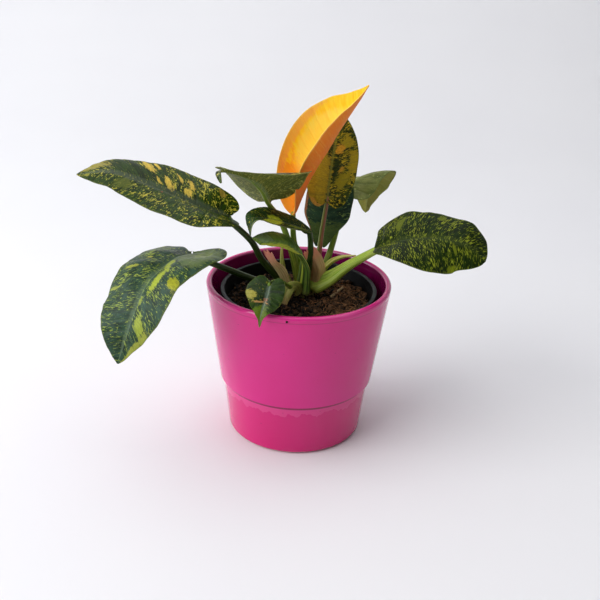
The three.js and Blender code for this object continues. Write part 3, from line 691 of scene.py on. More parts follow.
LOOKS = {
    "leaf_1": dict(
        GREEN_LOOK,
        seed=1.3, green=rgb(46, 72, 12), fleck=rgb(92, 112, 22), bright_fleck=rgb(214, 198, 74),
        flecks=0.53, bright=0.95, bright_gap=0.075, blots=0.74, rib_and_sheen_width=0.2, rib_and_sheen_share=0.55,
        marks=[
            (GOLD, 1, ((0.485, 0.8), (0.03, 0.24))),
            (GOLD, 1, ((0.425, 0.85), (0.014, 0.14))),
            (GOLD, 1, ((0.47, 0.33), (0.014, 0.16))),
            (GOLD, 1, ((0.405, 0.32), (0.026, 0.2))),
            (GOLD, 1, ((0.315, 0.62), (0.012, 0.16))),
            (GOLD, 1, ((0.25, 0.55), (0.018, 0.15))),
            (GOLD, 1, ((0.285, 0.25), (0.028, 0.13))),
            (rgb(190, 160, 60), 0.9, ((0.08, 0.8), (0.012, 0.16))),
            (rgb(172, 160, 70), 0.9, ((0.84, 0.8), (0.12, 0.3))),
            (rgb(106, 118, 34), 0.75, ((0.66, -0.5), (0.06, 0.35))),
            (rgb(170, 166, 60), 0.9, ((0.93, -0.4), (0.02, 0.3))),
            (rgb(190, 84, 40), 0.9, ((0.45, -0.13), (0.008, 0.05))),
        ],
        thin=[
            ((0.3, -0.6), (0.4, 0.7), 0.015), ((0.62, 0.5), (0.16, 0.6), -0.09),
            ((0.1, 0.6), (0.2, 0.6), 0.03),
        ],
    ),
    "leaf_2": dict(
        GREEN_LOOK,
        # The blue-green ground is partly the leaf's own colour and partly a painted reflection of bluish daylight
        seed=3.1, dark=rgb(18, 36, 20), green=rgb(44, 72, 54), fleck=rgb(88, 112, 48),
        bright_fleck=rgb(156, 168, 60), blot=rgb(150, 158, 50), rib=rgb(100, 120, 92), flecks=0.555,
        blots=0.78, fine=(0.75, 3.4), coarse=(3.2, 12), rib_and_sheen_width=0.1, rib_and_sheen_share=0.45, shine=0.2,
        marks=[
            (rgb(160, 174, 46), 1, ((0.36, -0.32), (0.12, 0.15)), 0.7),
            (rgb(156, 170, 46), 1, ((0.24, -0.14), (0.05, 0.14)), 0.5),
            (rgb(160, 162, 38), 1, ((0.335, -0.86), (0.04, 0.2)), 0.6),
            (rgb(150, 164, 56), 1, ((0.66, -0.5), (0.05, 0.3)), 0.7),
            (rgb(144, 158, 60), 0.9, ((0.56, -0.12), (0.035, 0.08))),
            (rgb(166, 170, 64), 0.9, ((0.3, 0.62), (0.014, 0.2))),
            (rgb(170, 170, 60), 0.9, ((0.2, 0.5), (0.012, 0.1))),
            (rgb(150, 160, 60), 0.9, ((0.42, 0.8), (0.012, 0.18))),
            # The lighter basal lobe: partly marbling, partly a painted sheen on its dished surface
            (rgb(112, 130, 66), 0.65, ((0.1, -0.5), (0.14, 0.5)), 0.4),
            (rgb(134, 152, 44), 0.9, ((0.08, -0.5), (0.05, 0.2)), 0.6),
            (rgb(96, 116, 30), 0.8, ((0.06, -0.5), (0.03, 0.12)), 0.4),
            (rgb(160, 166, 60), 0.8, ((0.8, -0.9), (0.2, 0.16))),
        ],
        thin=[
            ((0.25, 0.6), (0.3, 0.6), 0.03), ((0.45, -0.15), (0.12, 0.3), 0.06),
            ((0.7, 0.2), (0.2, 0.5), -0.02),
        ],
    ),
    "leaf_3": dict(
        GREEN_LOOK,
        seed=5.7, dark=rgb(18, 34, 12), green=rgb(46, 68, 24), rib=rgb(112, 128, 112), flecks=0.63,
        blots=0.86, fine=(0.5, 1.2), rib_and_sheen_width=0.14, roughness=0.3,
        marks=[
            (rgb(104, 128, 28), 0.9, ((0.9, 0.0), (0.4, 1.8)), 0.6),
            (rgb(176, 168, 74), 1, ((0.32, 0.8), (0.12, 0.36))),
            (rgb(190, 142, 84), 0.9, ((0.46, 0.2), (0.02, 0.5))),
            (rgb(196, 110, 60), 0.9, ((0.4, 0.0), (0.04, 0.12))),
        ],
    ),
    "leaf_4": dict(
        GREEN_LOOK,
        seed=7.9, fleck=rgb(168, 168, 84), rib=rgb(112, 134, 84), margin=rgb(140, 146, 70),
        under=rgb(108, 118, 46), flecks=0.56, blots=0.86, fine=(0.7, 2.4), rib_and_sheen_width=0.09, rib_and_sheen_share=0.8,
        under_share=0.6, under_fleck=0.75,
    ),
    "leaf_5": dict(
        PLAIN_LOOK,
        seed=2, dark=rgb(254, 196, 32), green=rgb(255, 216, 60), fleck=rgb(255, 220, 84),
        bright_fleck=rgb(255, 234, 120), blot=rgb(253, 212, 80), vein=rgb(244, 172, 40),
        rib=rgb(254, 220, 104), margin=rgb(250, 214, 120), under=rgb(246, 120, 50), flecks=0.58,
        fleck_share=0.3, bright=0.25, blots=0.95, fine=(1.2, 6), coarse=(5, 20), vein_share=0.1,
        under_share=0.85, under_vein=0.06, under_fleck=0.1, roughness=0.42, glow=0.25, mark_depth=0.92,
        marks=[
            (rgb(250, 150, 52), 0.75, ((0.0, 0.1), (0.34, 1.4)), 0.5),
            (rgb(252, 164, 100), 0.6, ((0.2, -1.0), (0.5, 0.3)), 0.2),
            (rgb(255, 232, 120), 0.5, ((0.5, -0.3), (0.3, 0.5)), 0.2),
        ],
    ),
    "leaf_6": dict(
        GREEN_LOOK,
        seed=11.1, dark=rgb(14, 34, 8), green=rgb(36, 70, 18), flecks=0.575, blots=0.9, fine=(0.7, 1.5),
        roughness=0.6,
        marks=[
            (rgb(190, 200, 44), 0.9, ((0.5, 0.06), (0.1, 0.3)), 0.6),
            (rgb(228, 234, 64), 1, ((0.5, -0.45), (0.12, 0.7)), 0.6),
            (rgb(150, 164, 50), 0.7, ((0.2, -0.4), (0.14, 0.3))),
            # Painted highlight: a pale grey-green strip along the left margin
            (rgb(160, 170, 120), 0.7, ((0.5, -1.0), (0.4, 0.14))),
        ],
    ),
    "leaf_7": dict(
        GREEN_LOOK,
        seed=13.3, dark=rgb(76, 112, 40), green=rgb(132, 160, 70), under=rgb(190, 198, 70), flecks=0.66,
        blots=0.9, under_share=0.8,
        marks=[
            (rgb(196, 204, 70), 0.95, ((0.3, -0.85), (0.5, 0.5)), 0.5),
            (rgb(140, 166, 112), 0.8, ((0.8, 0.2), (0.2, 0.8)), 0.5),
        ],
    ),
    "leaf_8": dict(
        GREEN_LOOK,
        seed=15.7, green=rgb(58, 70, 14), fleck=rgb(132, 128, 26), bright_fleck=rgb(206, 172, 38),
        rib=rgb(120, 122, 44), flecks=0.515, bright=0.9, bright_gap=0.07, blots=0.8, fine=(0.6, 1.9),
        rib_and_sheen_width=0.07, rib_and_sheen_share=0.7,
        marks=[
            (rgb(184, 156, 36), 1, ((0.26, -0.5), (0.34, 0.6)), 0.4),
            (rgb(172, 138, 30), 0.7, ((0.2, -0.75), (0.2, 0.2)), 0.8),
            (rgb(192, 164, 30), 0.9, ((0.4, 0.85), (0.15, 0.24))),
            (rgb(176, 156, 32), 0.9, ((0.62, 0.6), (0.1, 0.3))),
            (rgb(214, 160, 44), 1, ((0.57, 0.26), (0.055, 0.24)), 0.7),
            (rgb(206, 158, 46), 0.9, ((0.34, 0.4), (0.04, 0.12))),
            (rgb(164, 148, 28), 0.8, ((0.24, 0.5), (0.1, 0.3))),
            (rgb(220, 160, 66), 0.9, ((0.02, -0.9), (0.05, 0.24)), 0.3),
        ],
        thin=[
            ((0.4, 0.16), (0.22, 0.18), -0.13), ((0.86, 0.1), (0.12, 0.9), -0.1),
            ((0.3, 0.7), (0.3, 0.4), 0.05),
        ],
    ),
    "leaf_9": dict(
        GREEN_LOOK,
        # The pale bluish flecks are partly marbling and partly painted highlights
        seed=17.9, dark=rgb(18, 38, 26), green=rgb(40, 66, 46), fleck=rgb(78, 104, 56),
        bright_fleck=rgb(124, 142, 76), flecks=0.59, blots=0.85, fine=(0.9, 2.8),
        marks=[
            (rgb(84, 104, 48), 0.8, ((0.1, 0.1), (0.12, 1.2)), 0.6),
            (rgb(150, 92, 60), 0.9, ((0.5, -1.0), (0.6, 0.14)), 0.4),
        ],
    ),
    "leaf_10": dict(
        # Painted light: the pale colours, the underside's most of all, stand in for light shining through the leaf
        GREEN_LOOK,
        seed=19.1, dark=rgb(84, 94, 36), green=rgb(126, 130, 62), fleck=rgb(150, 158, 76),
        bright_fleck=rgb(166, 170, 90), rib=rgb(160, 168, 96), under=rgb(146, 146, 70), flecks=0.64,
        blots=0.9, under_share=0.85, roughness=0.5, glow=0.15,
    ),
    "leaf_11": dict(
        GREEN_LOOK,
        seed=23.7, dark=rgb(13, 24, 3), green=rgb(27, 45, 6), fleck=rgb(76, 92, 16),
        bright_fleck=rgb(150, 160, 44), blot=rgb(120, 130, 28), rib=rgb(66, 80, 32), flecks=0.555,
        bright=0.95, blots=0.86, fine=(0.46, 3.4), fine_detail=(2, 0.5), rib_and_sheen_width=0.14, rib_and_sheen_share=0.4,
        shine=0.14,
        marks=[
            (rgb(118, 130, 22), 1, ((0.63, 0.95), (0.05, 0.16))),
            (rgb(112, 124, 28), 0.8, ((0.2, -0.55), (0.03, 0.3))),
            (rgb(116, 128, 28), 0.8, ((0.46, -0.82), (0.03, 0.12))),
            (rgb(116, 128, 28), 0.8, ((0.68, 0.3), (0.02, 0.2))),
        ],
    ),
}

STALK_LOOKS = {
    "green_stalk": dict(dark=rgb(70, 100, 16), light=rgb(140, 166, 50), base=rgb(164, 168, 70)),
    "dark_stalk": dict(dark=rgb(20, 38, 6), light=rgb(52, 78, 18), base=rgb(70, 92, 30)),
    "bright_stalk": dict(dark=rgb(122, 158, 34), light=rgb(182, 206, 84), base=rgb(188, 196, 96)),
    "striped_stalk": dict(dark=rgb(62, 92, 24), light=rgb(104, 134, 52), base=rgb(150, 150, 84),
                          groove=rgb(22, 46, 14), line=rgb(178, 190, 62)),
    "pink_stalk": dict(dark=rgb(88, 96, 28), light=rgb(124, 128, 48), base=rgb(112, 112, 44),
                       blush=rgb(148, 92, 62)),
}
STEM_LOOK = dict(dark=rgb(70, 82, 28), light=rgb(120, 130, 60), base=rgb(150, 122, 76))
BRACT_LOOKS = {
    "bract_1": dict(low=rgb(176, 152, 96), high=rgb(214, 194, 138), tip=rgb(224, 142, 122)),
    "bract_2": dict(low=rgb(190, 152, 96), high=rgb(218, 184, 130), tip=rgb(234, 144, 114)),
    "bract_3": dict(low=rgb(150, 160, 60), high=rgb(200, 198, 100), tip=rgb(212, 206, 122)),
    "bract_4": dict(low=rgb(124, 132, 48), high=rgb(168, 168, 78), tip=rgb(140, 116, 66)),
    "bract_5": dict(low=rgb(120, 124, 48), high=rgb(150, 152, 66), tip=rgb(160, 150, 70)),
}


def stalk_finish(name, dark, light, base, blush=None, groove=None, line=None):
    """A stalk with fine lengthwise stripes, in the colour base towards its foot. The layout map reach runs round it
    and along it. A blush colours one side, and a line the ridges of a striped sheath, with dark grooves between."""
    paint = Finish(name)
    reach = paint.layout("reach")
    around, along, _ = paint.parts(paint.layout("veins"))
    stripe = paint.drawn(reach, (1.1, 30), 3, 0.6)
    cloud = paint.noise(reach, scale=9)
    body = paint.mix(paint.between(stripe, 0.35, 0.65), dark, light)
    body = paint.mix(paint.between(cloud, 0.45, 0.75) * 0.5, body, base)
    if blush:
        body = paint.mix(paint.between(abs(around - 0.66), 0.1, 0.24, start=1, end=0), body, blush)
    if line:
        turn = around * FULL_TURN
        ridge = (turn * STALK_RIBS).math("COSINE") * 0.5 + 0.5
        between_ridges = paint.between(ridge + (stripe - 0.5) * 0.8, 0.1, 0.5, start=0.85, end=0)
        body = paint.mix(between_ridges, body, groove)
        body = paint.mix(paint.between((turn * 3).math("COSINE"), 0.86, 0.96) * 0.9, body, line)
    body = paint.mix(paint.between(along, 0.75, 1) * 0.5, body, base)
    return paint.done(Base_Color=body, Roughness=paint.between(stripe, 0.3, 0.7, start=0.36, end=0.5),
                      Normal=paint.bump(stripe, depth=0.0003, strength=0.45), IOR=1.45, Subsurface_Weight=0.06,
                      Subsurface_Radius=(0.0012, 0.0018, 0.0006), Subsurface_Scale=1)


def bract_finish(name, low, high, tip):
    """A papery sheath, veined along its length and drier towards its tip."""
    paint = Finish(name)
    t, _, _ = paint.parts(paint.layout("veins"))
    reach = paint.layout("reach")
    fibre = paint.drawn(reach, (14, 0.7), 3, 0.6)
    body = paint.mix(paint.between(fibre, 0.35, 0.65), low, high)
    body = paint.mix(paint.between(t, 0.55, 1), body, tip)
    dry = paint.between(paint.noise(reach, scale=60, detail=3, roughness=0.7), 0.6, 0.7)
    body = paint.mix(dry * 0.5, body, tip)
    return paint.done(Base_Color=body, Roughness=0.6, Normal=paint.bump(fibre, depth=0.0004, strength=0.6),
                      Subsurface_Weight=0.15, Subsurface_Radius=(0.0015, 0.001, 0.0006), Subsurface_Scale=1)


# Lines and blades

def curve_point(points, share):
    """A place on the Catmull-Rom curve through points, share from 0 to 1."""
    spots = [Vector(point) for point in points]
    place = min(max(share, 0), 1) * (len(spots) - 1)
    index = min(int(place), len(spots) - 2)
    w = place - index
    one, two = spots[index], spots[index + 1]
    before = spots[index - 1] if index > 0 else 2 * one - two
    after = spots[index + 2] if index + 2 < len(spots) else 2 * two - one
    linear = (two - before) * w
    square = (2 * before - 5 * one + 4 * two - after) * w * w
    cubic = (3 * one - before - 3 * two + after) * w ** 3
    return (2 * one + linear + square + cubic) / 2


def smooth(share):
    """An eased step from 0 to 1."""
    share = min(max(share, 0), 1)
    return share * share * (3 - 2 * share)


def spread(values, share):
    """The value at share of a list spread evenly from 0 to 1, eased from each to the next."""
    place = min(max(share, 0), 1) * (len(values) - 1)
    index = min(int(place), len(values) - 2)
    weight = smooth(place - index)
    return values[index] * (1 - weight) + values[index + 1] * weight


def dome(share):
    """The width of a rounded end, as a share of the full one, from 0 at its tip to 1."""
    return math.sqrt(max(0, 1 - (1 - share) ** 2))


class Path:
    """A smooth line through points, read by length, that runs straight on past its ends."""

    def __init__(self, points):
        self.places = [curve_point(points, step / PATH_STEPS) for step in range(PATH_STEPS + 1)]
        self.lengths = [0]
        for before, after in zip(self.places, self.places[1:]):
            self.lengths.append(self.lengths[-1] + (after - before).length)
        self.length = self.lengths[-1]

    def inside(self, along):
        along = min(max(along, 0), self.length)
        low, high = 0, len(self.lengths) - 1
        while high - low > 1:
            middle = (low + high) // 2
            if self.lengths[middle] <= along:
                low = middle
            else:
                high = middle
        share = (along - self.lengths[low]) / (self.lengths[high] - self.lengths[low])
        return self.places[low].lerp(self.places[high], share)

    def tangent(self, along):
        step = self.length / TANGENT_STEPS
        along = min(max(along, 0), self.length)
        return (self.inside(along + step) - self.inside(along - step)).normalized()

    def at(self, along):
        past = along - min(max(along, 0), self.length)
        return self.inside(along) + self.tangent(along) * past


class Blade:
    """The shape of a blade, from places along its rib and out from it to places in space, in mm."""

    def __init__(self, leaf):
        self.leaf = leaf
        self.rib = Path(leaf["rib"])
        self.length = self.rib.length
        self.faces = [Vector(face) for face in leaf["face"]]
        self.half_width = leaf["half_width"]

    def up(self, share):
        tangent = self.rib.tangent(share * self.length)
        face = spread(self.faces, share)
        return (face - tangent * face.dot(tangent)).normalized()

    def half(self, key, left):
        """The right half's values, or the left half's own where it has them."""
        return self.leaf.get(key + "_left", self.leaf[key]) if left else self.leaf[key]

    def place(self, along, out):
        share = min(max(along / self.length, 0), 1)
        tangent = self.rib.tangent(share * self.length)
        up = self.up(share)
        right = tangent.cross(up)
        left = out < 0
        reach = abs(out)
        fold = math.radians(spread(self.half("fold", left), share))
        bend = math.radians(spread(self.half("curl", left), share)) / self.half_width
        if abs(bend) < LEAST_BEND:
            bend = LEAST_BEND
        across = (math.sin(fold + bend * reach) - math.sin(fold)) / bend
        rise = -(math.cos(fold + bend * reach) - math.cos(fold)) / bend
        height, waves, start = self.leaf["wave"]
        shift = LEFT_WAVE_SHIFT if left else 0
        rise += height * (reach / self.half_width) ** 3 * math.sin(FULL_TURN * waves * share + start + shift)
        return self.rib.at(along) + right * (-across if left else across) + up * rise

    def grid(self, rows, columns):
        """Rows of (place, t and s, where on the rib the side vein starts and how far out, in mm)."""
        made = []
        for row in range(rows + 1):
            edge = curve_point(self.leaf["outline"], row / rows)
            width = max(edge.y, 0) * self.half_width
            halves = [width * spread(self.leaf.get(trim, (1, 1)), edge.z) for trim in ("trim", "trim_left")]
            ragged = self.leaf.get("torn", 0) * edge.z ** 6
            line = []
            for column in range(-columns, columns + 1):
                share = abs(column / columns) ** COLUMN_CROWDING
                side = math.copysign(1, column)
                out = side * share * halves[column < 0]
                along = (edge.z + (edge.x - edge.z) * share ** VEIN_SWEEP) * self.length
                along += ragged * noise.noise(Vector((out * 0.7, 3.1, 0)))
                line.append((self.place(along, out), edge.z, side * share, edge.z * self.length, out))
            made.append(line)
        return made


# Mesh helpers

def only(piece):
    """Makes a piece the one selected and active object."""
    bpy.ops.object.select_all(action="DESELECT")
    piece.select_set(True)
    bpy.context.view_layer.objects.active = piece


def named(name):
    """The primitive that was just added, under a name of its own."""
    piece = bpy.context.object
    piece.name = name
    piece.data.name = name
    return piece


def grid_piece(name, rows, columns):
    """A flat grid whose vertices run row by row, ready to be shaped."""
    bpy.ops.object.select_all(action="DESELECT")
    bpy.ops.mesh.primitive_grid_add(x_subdivisions=columns, y_subdivisions=rows, size=2 * MM)
    return named(name)


def lay(piece, places):
    """Puts a piece's vertices at places in mm, in turn."""
    for vertex, place in zip(piece.data.vertices, places):
        vertex.co = place * MM


def write_map(piece, name, values):
    """A UV map with one pair for each vertex."""
    layer = piece.data.uv_layers.get(name) or piece.data.uv_layers.new(name=name)
    for loop in piece.data.loops:
        layer.data[loop.index].uv = values[loop.vertex_index]


def write_layout(piece, spots):
    """The two layout maps of a blade or stalk, from its spots of (place, two shares, two lengths in mm)."""
    write_map(piece, "veins", [(spot[1], spot[2]) for spot in spots])
    write_map(piece, "reach", [(spot[3] / MAP_UNIT, spot[4] / MAP_UNIT) for spot in spots])


def write_tones(piece, tones):
    attribute = piece.data.attributes.new("tone", "FLOAT", "POINT")
    attribute.data.foreach_set("value", tones)


def edit(piece, *steps):
    """Runs edit mode operators on the whole of a piece."""
    only(piece)
    bpy.ops.object.mode_set(mode="EDIT")
    bpy.ops.mesh.select_all(action="SELECT")
    for operator, settings in steps:
        operator(**settings)
    bpy.ops.object.mode_set(mode="OBJECT")


def weld(piece, distance=WELD):
    """Closes a piece's seams and poles and turns its faces outwards."""
    edit(piece, (bpy.ops.mesh.remove_doubles, {"threshold": distance * MM}),
         (bpy.ops.mesh.normals_make_consistent, {"inside": False}))


def shade(piece, degrees):
    only(piece)
    bpy.ops.object.shade_smooth_by_angle(angle=math.radians(degrees))


def settle(piece, slot, *nodes):
    """Gives a finished piece its body and hides the nodes that it stands for. slot is not used."""
    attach(piece, "root")
    if nodes:
        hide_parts(*nodes)


def paint_piece(piece, *materials):
    piece.data.materials.clear()
    for material in materials:
        piece.data.materials.append(material)


def swelling(leaf, t, s, start, out):
    """How far the blade bulges between its side veins and is pressed in at its dents, in mm."""
    seed = 3.7 * leaf["half_width"]
    rise = 0
    for length, width, height in PUCKERS:
        rise += height * noise.noise(Vector((start / length, out / width, seed)))
    rise *= leaf.get("pucker", DEFAULT_PUCKER) * smooth(abs(out) / 6)
    for *dent, depth in leaf.get("dents", ()):
        rise -= depth * smooth(1 - math.sqrt(away(t, s, dent)) / 1.4)
    return rise


def blade_piece(name, leaf, materials, rows=BLADE_ROWS, columns=BLADE_COLUMNS, thickness=LEAF_THICKNESS,
                rib_depth=RIB_DEPTH, relief=VEIN_DEPTH):
    """A blade: a grid laid on the leaf's upper side, given a thickness that thins to the margin, with a groove over
    the rib, a ridge under it and shallow valleys along the side veins."""
    shape = Blade(leaf)
    spots = [spot for line in shape.grid(rows, columns) for spot in line]
    piece = grid_piece(name, rows, 2 * columns)
    lay(piece, [spot[0] for spot in spots])
    piece.data.update()
    paint_piece(piece, *materials)
    write_layout(piece, [(place, t, s / 2 + 0.5, start, out) for place, t, s, start, out in spots])
    normals = [vertex.normal.copy() for vertex in piece.data.vertices]
    if normals[len(normals) // 2].dot(shape.up(0.5)) <= 0:
        edit(piece, (bpy.ops.mesh.flip_normals, {}))
        normals = [-normal for normal in normals]
    for vertex, (_, t, s, start, out), normal in zip(piece.data.vertices, spots, normals):
        groove = GROOVE_DEPTH * (1 - GROOVE_FADE * t) * math.exp(-(out / GROOVE_WIDTH) ** 2)
        valley = leaf.get("valley", relief) * max(0, math.cos(FULL_TURN * SIDE_VEINS * t)) ** 4
        valley *= smooth(abs(out) / 3)
        fade = smooth(t / BASE_FADE) * smooth((1 - t) / TIP_FADE)
        vertex.co += normal * (swelling(leaf, t, s, start, out) - groove - valley) * fade * MM
    only(piece)
    wall = piece.modifiers.new("thickness", "SOLIDIFY")
    wall.thickness = thickness * MM
    wall.offset = -1
    wall.material_offset = 1
    wall.material_offset_rim = 0
    bpy.ops.object.modifier_apply(modifier=wall.name)
    vertices = piece.data.vertices
    for index, ((_, t, s, _, out), normal) in enumerate(zip(spots, normals)):
        top, bottom = vertices[index], vertices[index + len(spots)]
        bottom.co = top.co + (bottom.co - top.co) * (1 - MARGIN_THINNING * abs(s) ** 2)
        inside_rib = max(0, 1 - (out / (RIB_HALF_WIDTH - RIB_NARROWING * t)) ** 2)
        ridge = rib_depth * (1 - RIB_FADE * t) * inside_rib
        bottom.co -= normal * ridge * smooth((1 - t) / TIP_FADE) * MM
    shade(piece, 60)
    return piece


def stalk_piece(name, leaf, material):
    """A stalk: a tube from under its blade's rib down to the stem, channelled on top, finely ribbed and round at
    both ends. A sheath widens it towards the stem."""
    blade = Blade(leaf)
    start_radius, end_radius = leaf["radius"]
    sheath_start, sheath_width = leaf.get("sheath", (1, 1))
    lead = leaf.get("lead", min(LEAD_SHARE * blade.length, LONGEST_LEAD))
    leads = []
    for share, depth in LEAD_DEPTHS:
        along = lead * share
        under = blade.up(along / blade.length) * (LEAF_THICKNESS / 2 + start_radius * depth)
        leads.append(blade.rib.at(along) - under)
    line = Path([*leads, *leaf["stalk"]])
    up = blade.up(0)
    spots = []
    for step in range(STALK_STEPS + 1):
        share = 0.5 - 0.5 * math.cos(math.pi * step / STALK_STEPS)
        along = share * line.length
        tangent = line.tangent(along)
        up = (up - tangent * up.dot(tangent)).normalized()
        right = tangent.cross(up)
        past_blade = max(0, (along - lead) / (line.length - lead))
        radius = start_radius + (end_radius - start_radius) * past_blade ** 1.5
        radius *= LEAD_TIP + (1 - LEAD_TIP) * smooth(along / lead)
        radius *= dome(min(1, along / radius, (line.length - along) / radius))
        sheath = smooth((share - sheath_start) / 0.35) * (1 - 0.5 * smooth((share - 0.85) / 0.15))
        for side in range(STALK_SIDES + 1):
            angle = FULL_TURN * side / STALK_SIDES
            channel = CHANNEL_DEPTH + SHEATH_CHANNEL * sheath
            channel *= math.exp(-((math.pi - angle) / CHANNEL_ANGLE) ** 2) * smooth(share * 4)
            size = radius * (1 - channel + RIB_HEIGHT * math.cos(STALK_RIBS * angle))
            width = size * (1 + (sheath_width - 1) * sheath)
            place = line.at(along) - up * size * math.cos(angle) + right * width * math.sin(angle)
            spots.append((place, side / STALK_SIDES, share, angle * end_radius, along))
    piece = grid_piece(name, STALK_STEPS, STALK_SIDES)
    lay(piece, [spot[0] for spot in spots])
    write_layout(piece, spots)
    weld(piece)
    paint_piece(piece, material)
    shade(piece, 60)
    return piece


def corner(radius, height, size, start, end, steps=8):
    """Points of (radius, height) round a corner, from one angle to the next in degrees."""
    angles = [math.radians(start + (end - start) * step / steps) for step in range(steps + 1)]
    return [(radius + size * math.cos(angle), height + size * math.sin(angle)) for angle in angles]


def turned_piece(name, outline, sides):
    """A closed turned piece: a filled ring at the outline's first point, extruded from point to point and closed."""
    bpy.ops.object.select_all(action="DESELECT")
    before_radius, before_height = outline[0]
    bpy.ops.mesh.primitive_circle_add(vertices=sides, radius=before_radius * MM, fill_type="NGON",
                                      location=(0, 0, before_height * MM))
    piece = named(name)
    only(piece)
    bpy.ops.object.mode_set(mode="EDIT")
    bpy.ops.mesh.select_all(action="SELECT")
    for radius, height in outline[1:]:
        move = (0, 0, (height - before_height) * MM)
        bpy.ops.mesh.extrude_region_move(TRANSFORM_OT_translate={"value": move})
        scale = radius / before_radius
        bpy.ops.transform.resize(value=(scale, scale, 1), center_override=(0, 0, height * MM))
        before_radius, before_height = radius, height
    bpy.ops.object.mode_set(mode="OBJECT")
    weld(piece, FINE_WELD)
    only(piece)
    bpy.ops.object.transform_apply(location=True, rotation=True, scale=True)
    return piece


# Pieces

def wall_outside(height):
    """The outer radius of the cover pot's upper wall at a height."""
    rise = (height - STEP_HEIGHT) / (POT_HEIGHT - WALL / 2 - STEP_HEIGHT)
    return STEP_RADIUS + (RIM_RADIUS - STEP_RADIUS) * rise


def cover_pot():
    lip = WALL / 2
    wall_inside = STEP_RADIUS - WALL
    piece = turned_piece("cover_pot_glazed", [
        (FOOT_RADIUS - FOOT_RING - 1, BASE_RECESS),
        (FOOT_RADIUS - FOOT_RING, 0),
        *corner(FOOT_RADIUS - FOOT_ROUNDING, FOOT_ROUNDING, FOOT_ROUNDING, -90, 0),
        (STEP_RADIUS - STEP_DEPTH, STEP_HEIGHT - STEP_EDGE[0]),
        *corner(STEP_RADIUS - STEP_ROUNDING, STEP_HEIGHT + STEP_EDGE[1], STEP_ROUNDING, -75, 5, 6),
        (wall_outside(LIP_LINE - LIP_LINE_EDGES[0]), LIP_LINE - LIP_LINE_EDGES[0]),
        (wall_outside(LIP_LINE) - LIP_LINE_DEPTH, LIP_LINE),
        (wall_outside(LIP_LINE + LIP_LINE_EDGES[1]), LIP_LINE + LIP_LINE_EDGES[1]),
        *corner(RIM_RADIUS - lip, POT_HEIGHT - lip, lip, 8, 172, 14),
        (wall_inside, STEP_HEIGHT + INNER_STEP[1]),
        (wall_inside - STEP_DEPTH, STEP_HEIGHT - INNER_STEP[0]),
        *corner(FOOT_RADIUS - WALL - INNER_ROUNDING, FLOOR + INNER_ROUNDING, INNER_ROUNDING, 0, -90),
        (CENTRE_RADIUS, FLOOR),
    ], POT_SIDES)
    paint_piece(piece, glaze(), bare_clay())
    for face in piece.data.polygons:
        if face.center.z < BARE_HEIGHT * MM and face.normal.z < -0.5:
            face.material_index = 1
    shade(piece, 50)
    settle(piece, "glaze", "cover_pot")


def nursery_inner(height):
    """The inner radius of the nursery pot at a height."""
    rise = (height - NURSERY_BASE) / (NURSERY_TOP - NURSERY_BASE)
    outer = NURSERY_BASE_RADIUS + (NURSERY_RIM_RADIUS - NURSERY_LIP - NURSERY_BASE_RADIUS) * rise
    return outer - NURSERY_WALL


def nursery_pot():
    under = NURSERY_TOP - NURSERY_LIP_HEIGHT
    rounding = NURSERY_ROUNDING
    piece = turned_piece("nursery_pot_moulded", [
        (NURSERY_BASE_RADIUS - NURSERY_CHAMFER[0], NURSERY_BASE),
        (NURSERY_BASE_RADIUS, NURSERY_BASE + NURSERY_CHAMFER[1]),
        (nursery_inner(under) + NURSERY_WALL, under),
        *corner(NURSERY_RIM_RADIUS - NURSERY_LIP_EDGE[0], under + NURSERY_LIP_EDGE[1], NURSERY_LIP_EDGE[0], -90, 0, 3),
        *corner(NURSERY_RIM_RADIUS - rounding, NURSERY_TOP - rounding, rounding, 0, 90, 5),
        *corner(nursery_inner(NURSERY_TOP) + rounding, NURSERY_TOP - rounding, rounding, 90, 180, 5),
        (nursery_inner(NURSERY_BASE + NURSERY_FLOOR_EDGE), NURSERY_BASE + NURSERY_FLOOR_EDGE),
        (CENTRE_RADIUS, NURSERY_BASE + NURSERY_WALL),
    ], NURSERY_SIDES)
    paint_piece(piece, nursery_plastic())
    shade(piece, 40)
    settle(piece, "plastic", "nursery_pot")


def soil_height(x, y):
    """The height of the soil at a place, in mm."""
    mound = SOIL_MOUND * (1 - (x * x + y * y) / NURSERY_RIM_RADIUS ** 2)
    across, deep, diagonal = SOIL_WAVES
    uneven = math.sin(x * across + 1) * math.cos(y * deep - 0.5) + 0.5 * math.sin((x + y) * diagonal)
    return SOIL_TOP + mound + SOIL_UNEVENNESS * uneven


def soil():
    """The bed of soil, lumpy on top."""
    radius = nursery_inner(SOIL_TOP) - SOIL_TOP_GAP
    floor = NURSERY_BASE + NURSERY_WALL + SOIL_FLOOR_GAP
    rings = [(radius * (1 - ring / SOIL_RINGS), SOIL_TOP) for ring in range(SOIL_RINGS)]
    piece = turned_piece("soil_bed", [(nursery_inner(floor) - SOIL_FOOT_GAP, floor), *rings], SOIL_SIDES)
    for vertex in piece.data.vertices:
        x, y, z = vertex.co / MM
        if z > SOIL_TOP - 1:
            lumps = sum(noise.noise(Vector((x, y, cut)) * scale) * height for scale, cut, height in SOIL_LUMPS)
            vertex.co.z = (soil_height(x, y) + lumps - SOIL_BED_DROP) * MM
    write_tones(piece, [CRUMB_TONE[0]] * len(piece.data.vertices))
    paint_piece(piece, soil_finish("wet peat", rgb(14, 9, 6), rgb(70, 46, 30)))
    shade(piece, 80)
    settle(piece, "soil", "soil")


class Litter:
    """Many small closed shapes gathered into one mesh, each with its own tone."""

    def __init__(self):
        self.spots = []
        self.faces = []
        self.tones = []

    def add(self, spots, faces, tone):
        start = len(self.spots)
        self.spots.extend(spots)
        self.faces.extend([start + index for index in face] for face in faces)
        self.tones.extend([tone] * len(spots))

    def piece(self, name):
        mesh = bpy.data.meshes.new(name)
        mesh.from_pydata(self.spots, [], self.faces)
        piece = bpy.data.objects.new(name, mesh)
        bpy.context.scene.collection.objects.link(piece)
        write_tones(piece, self.tones)
        return piece


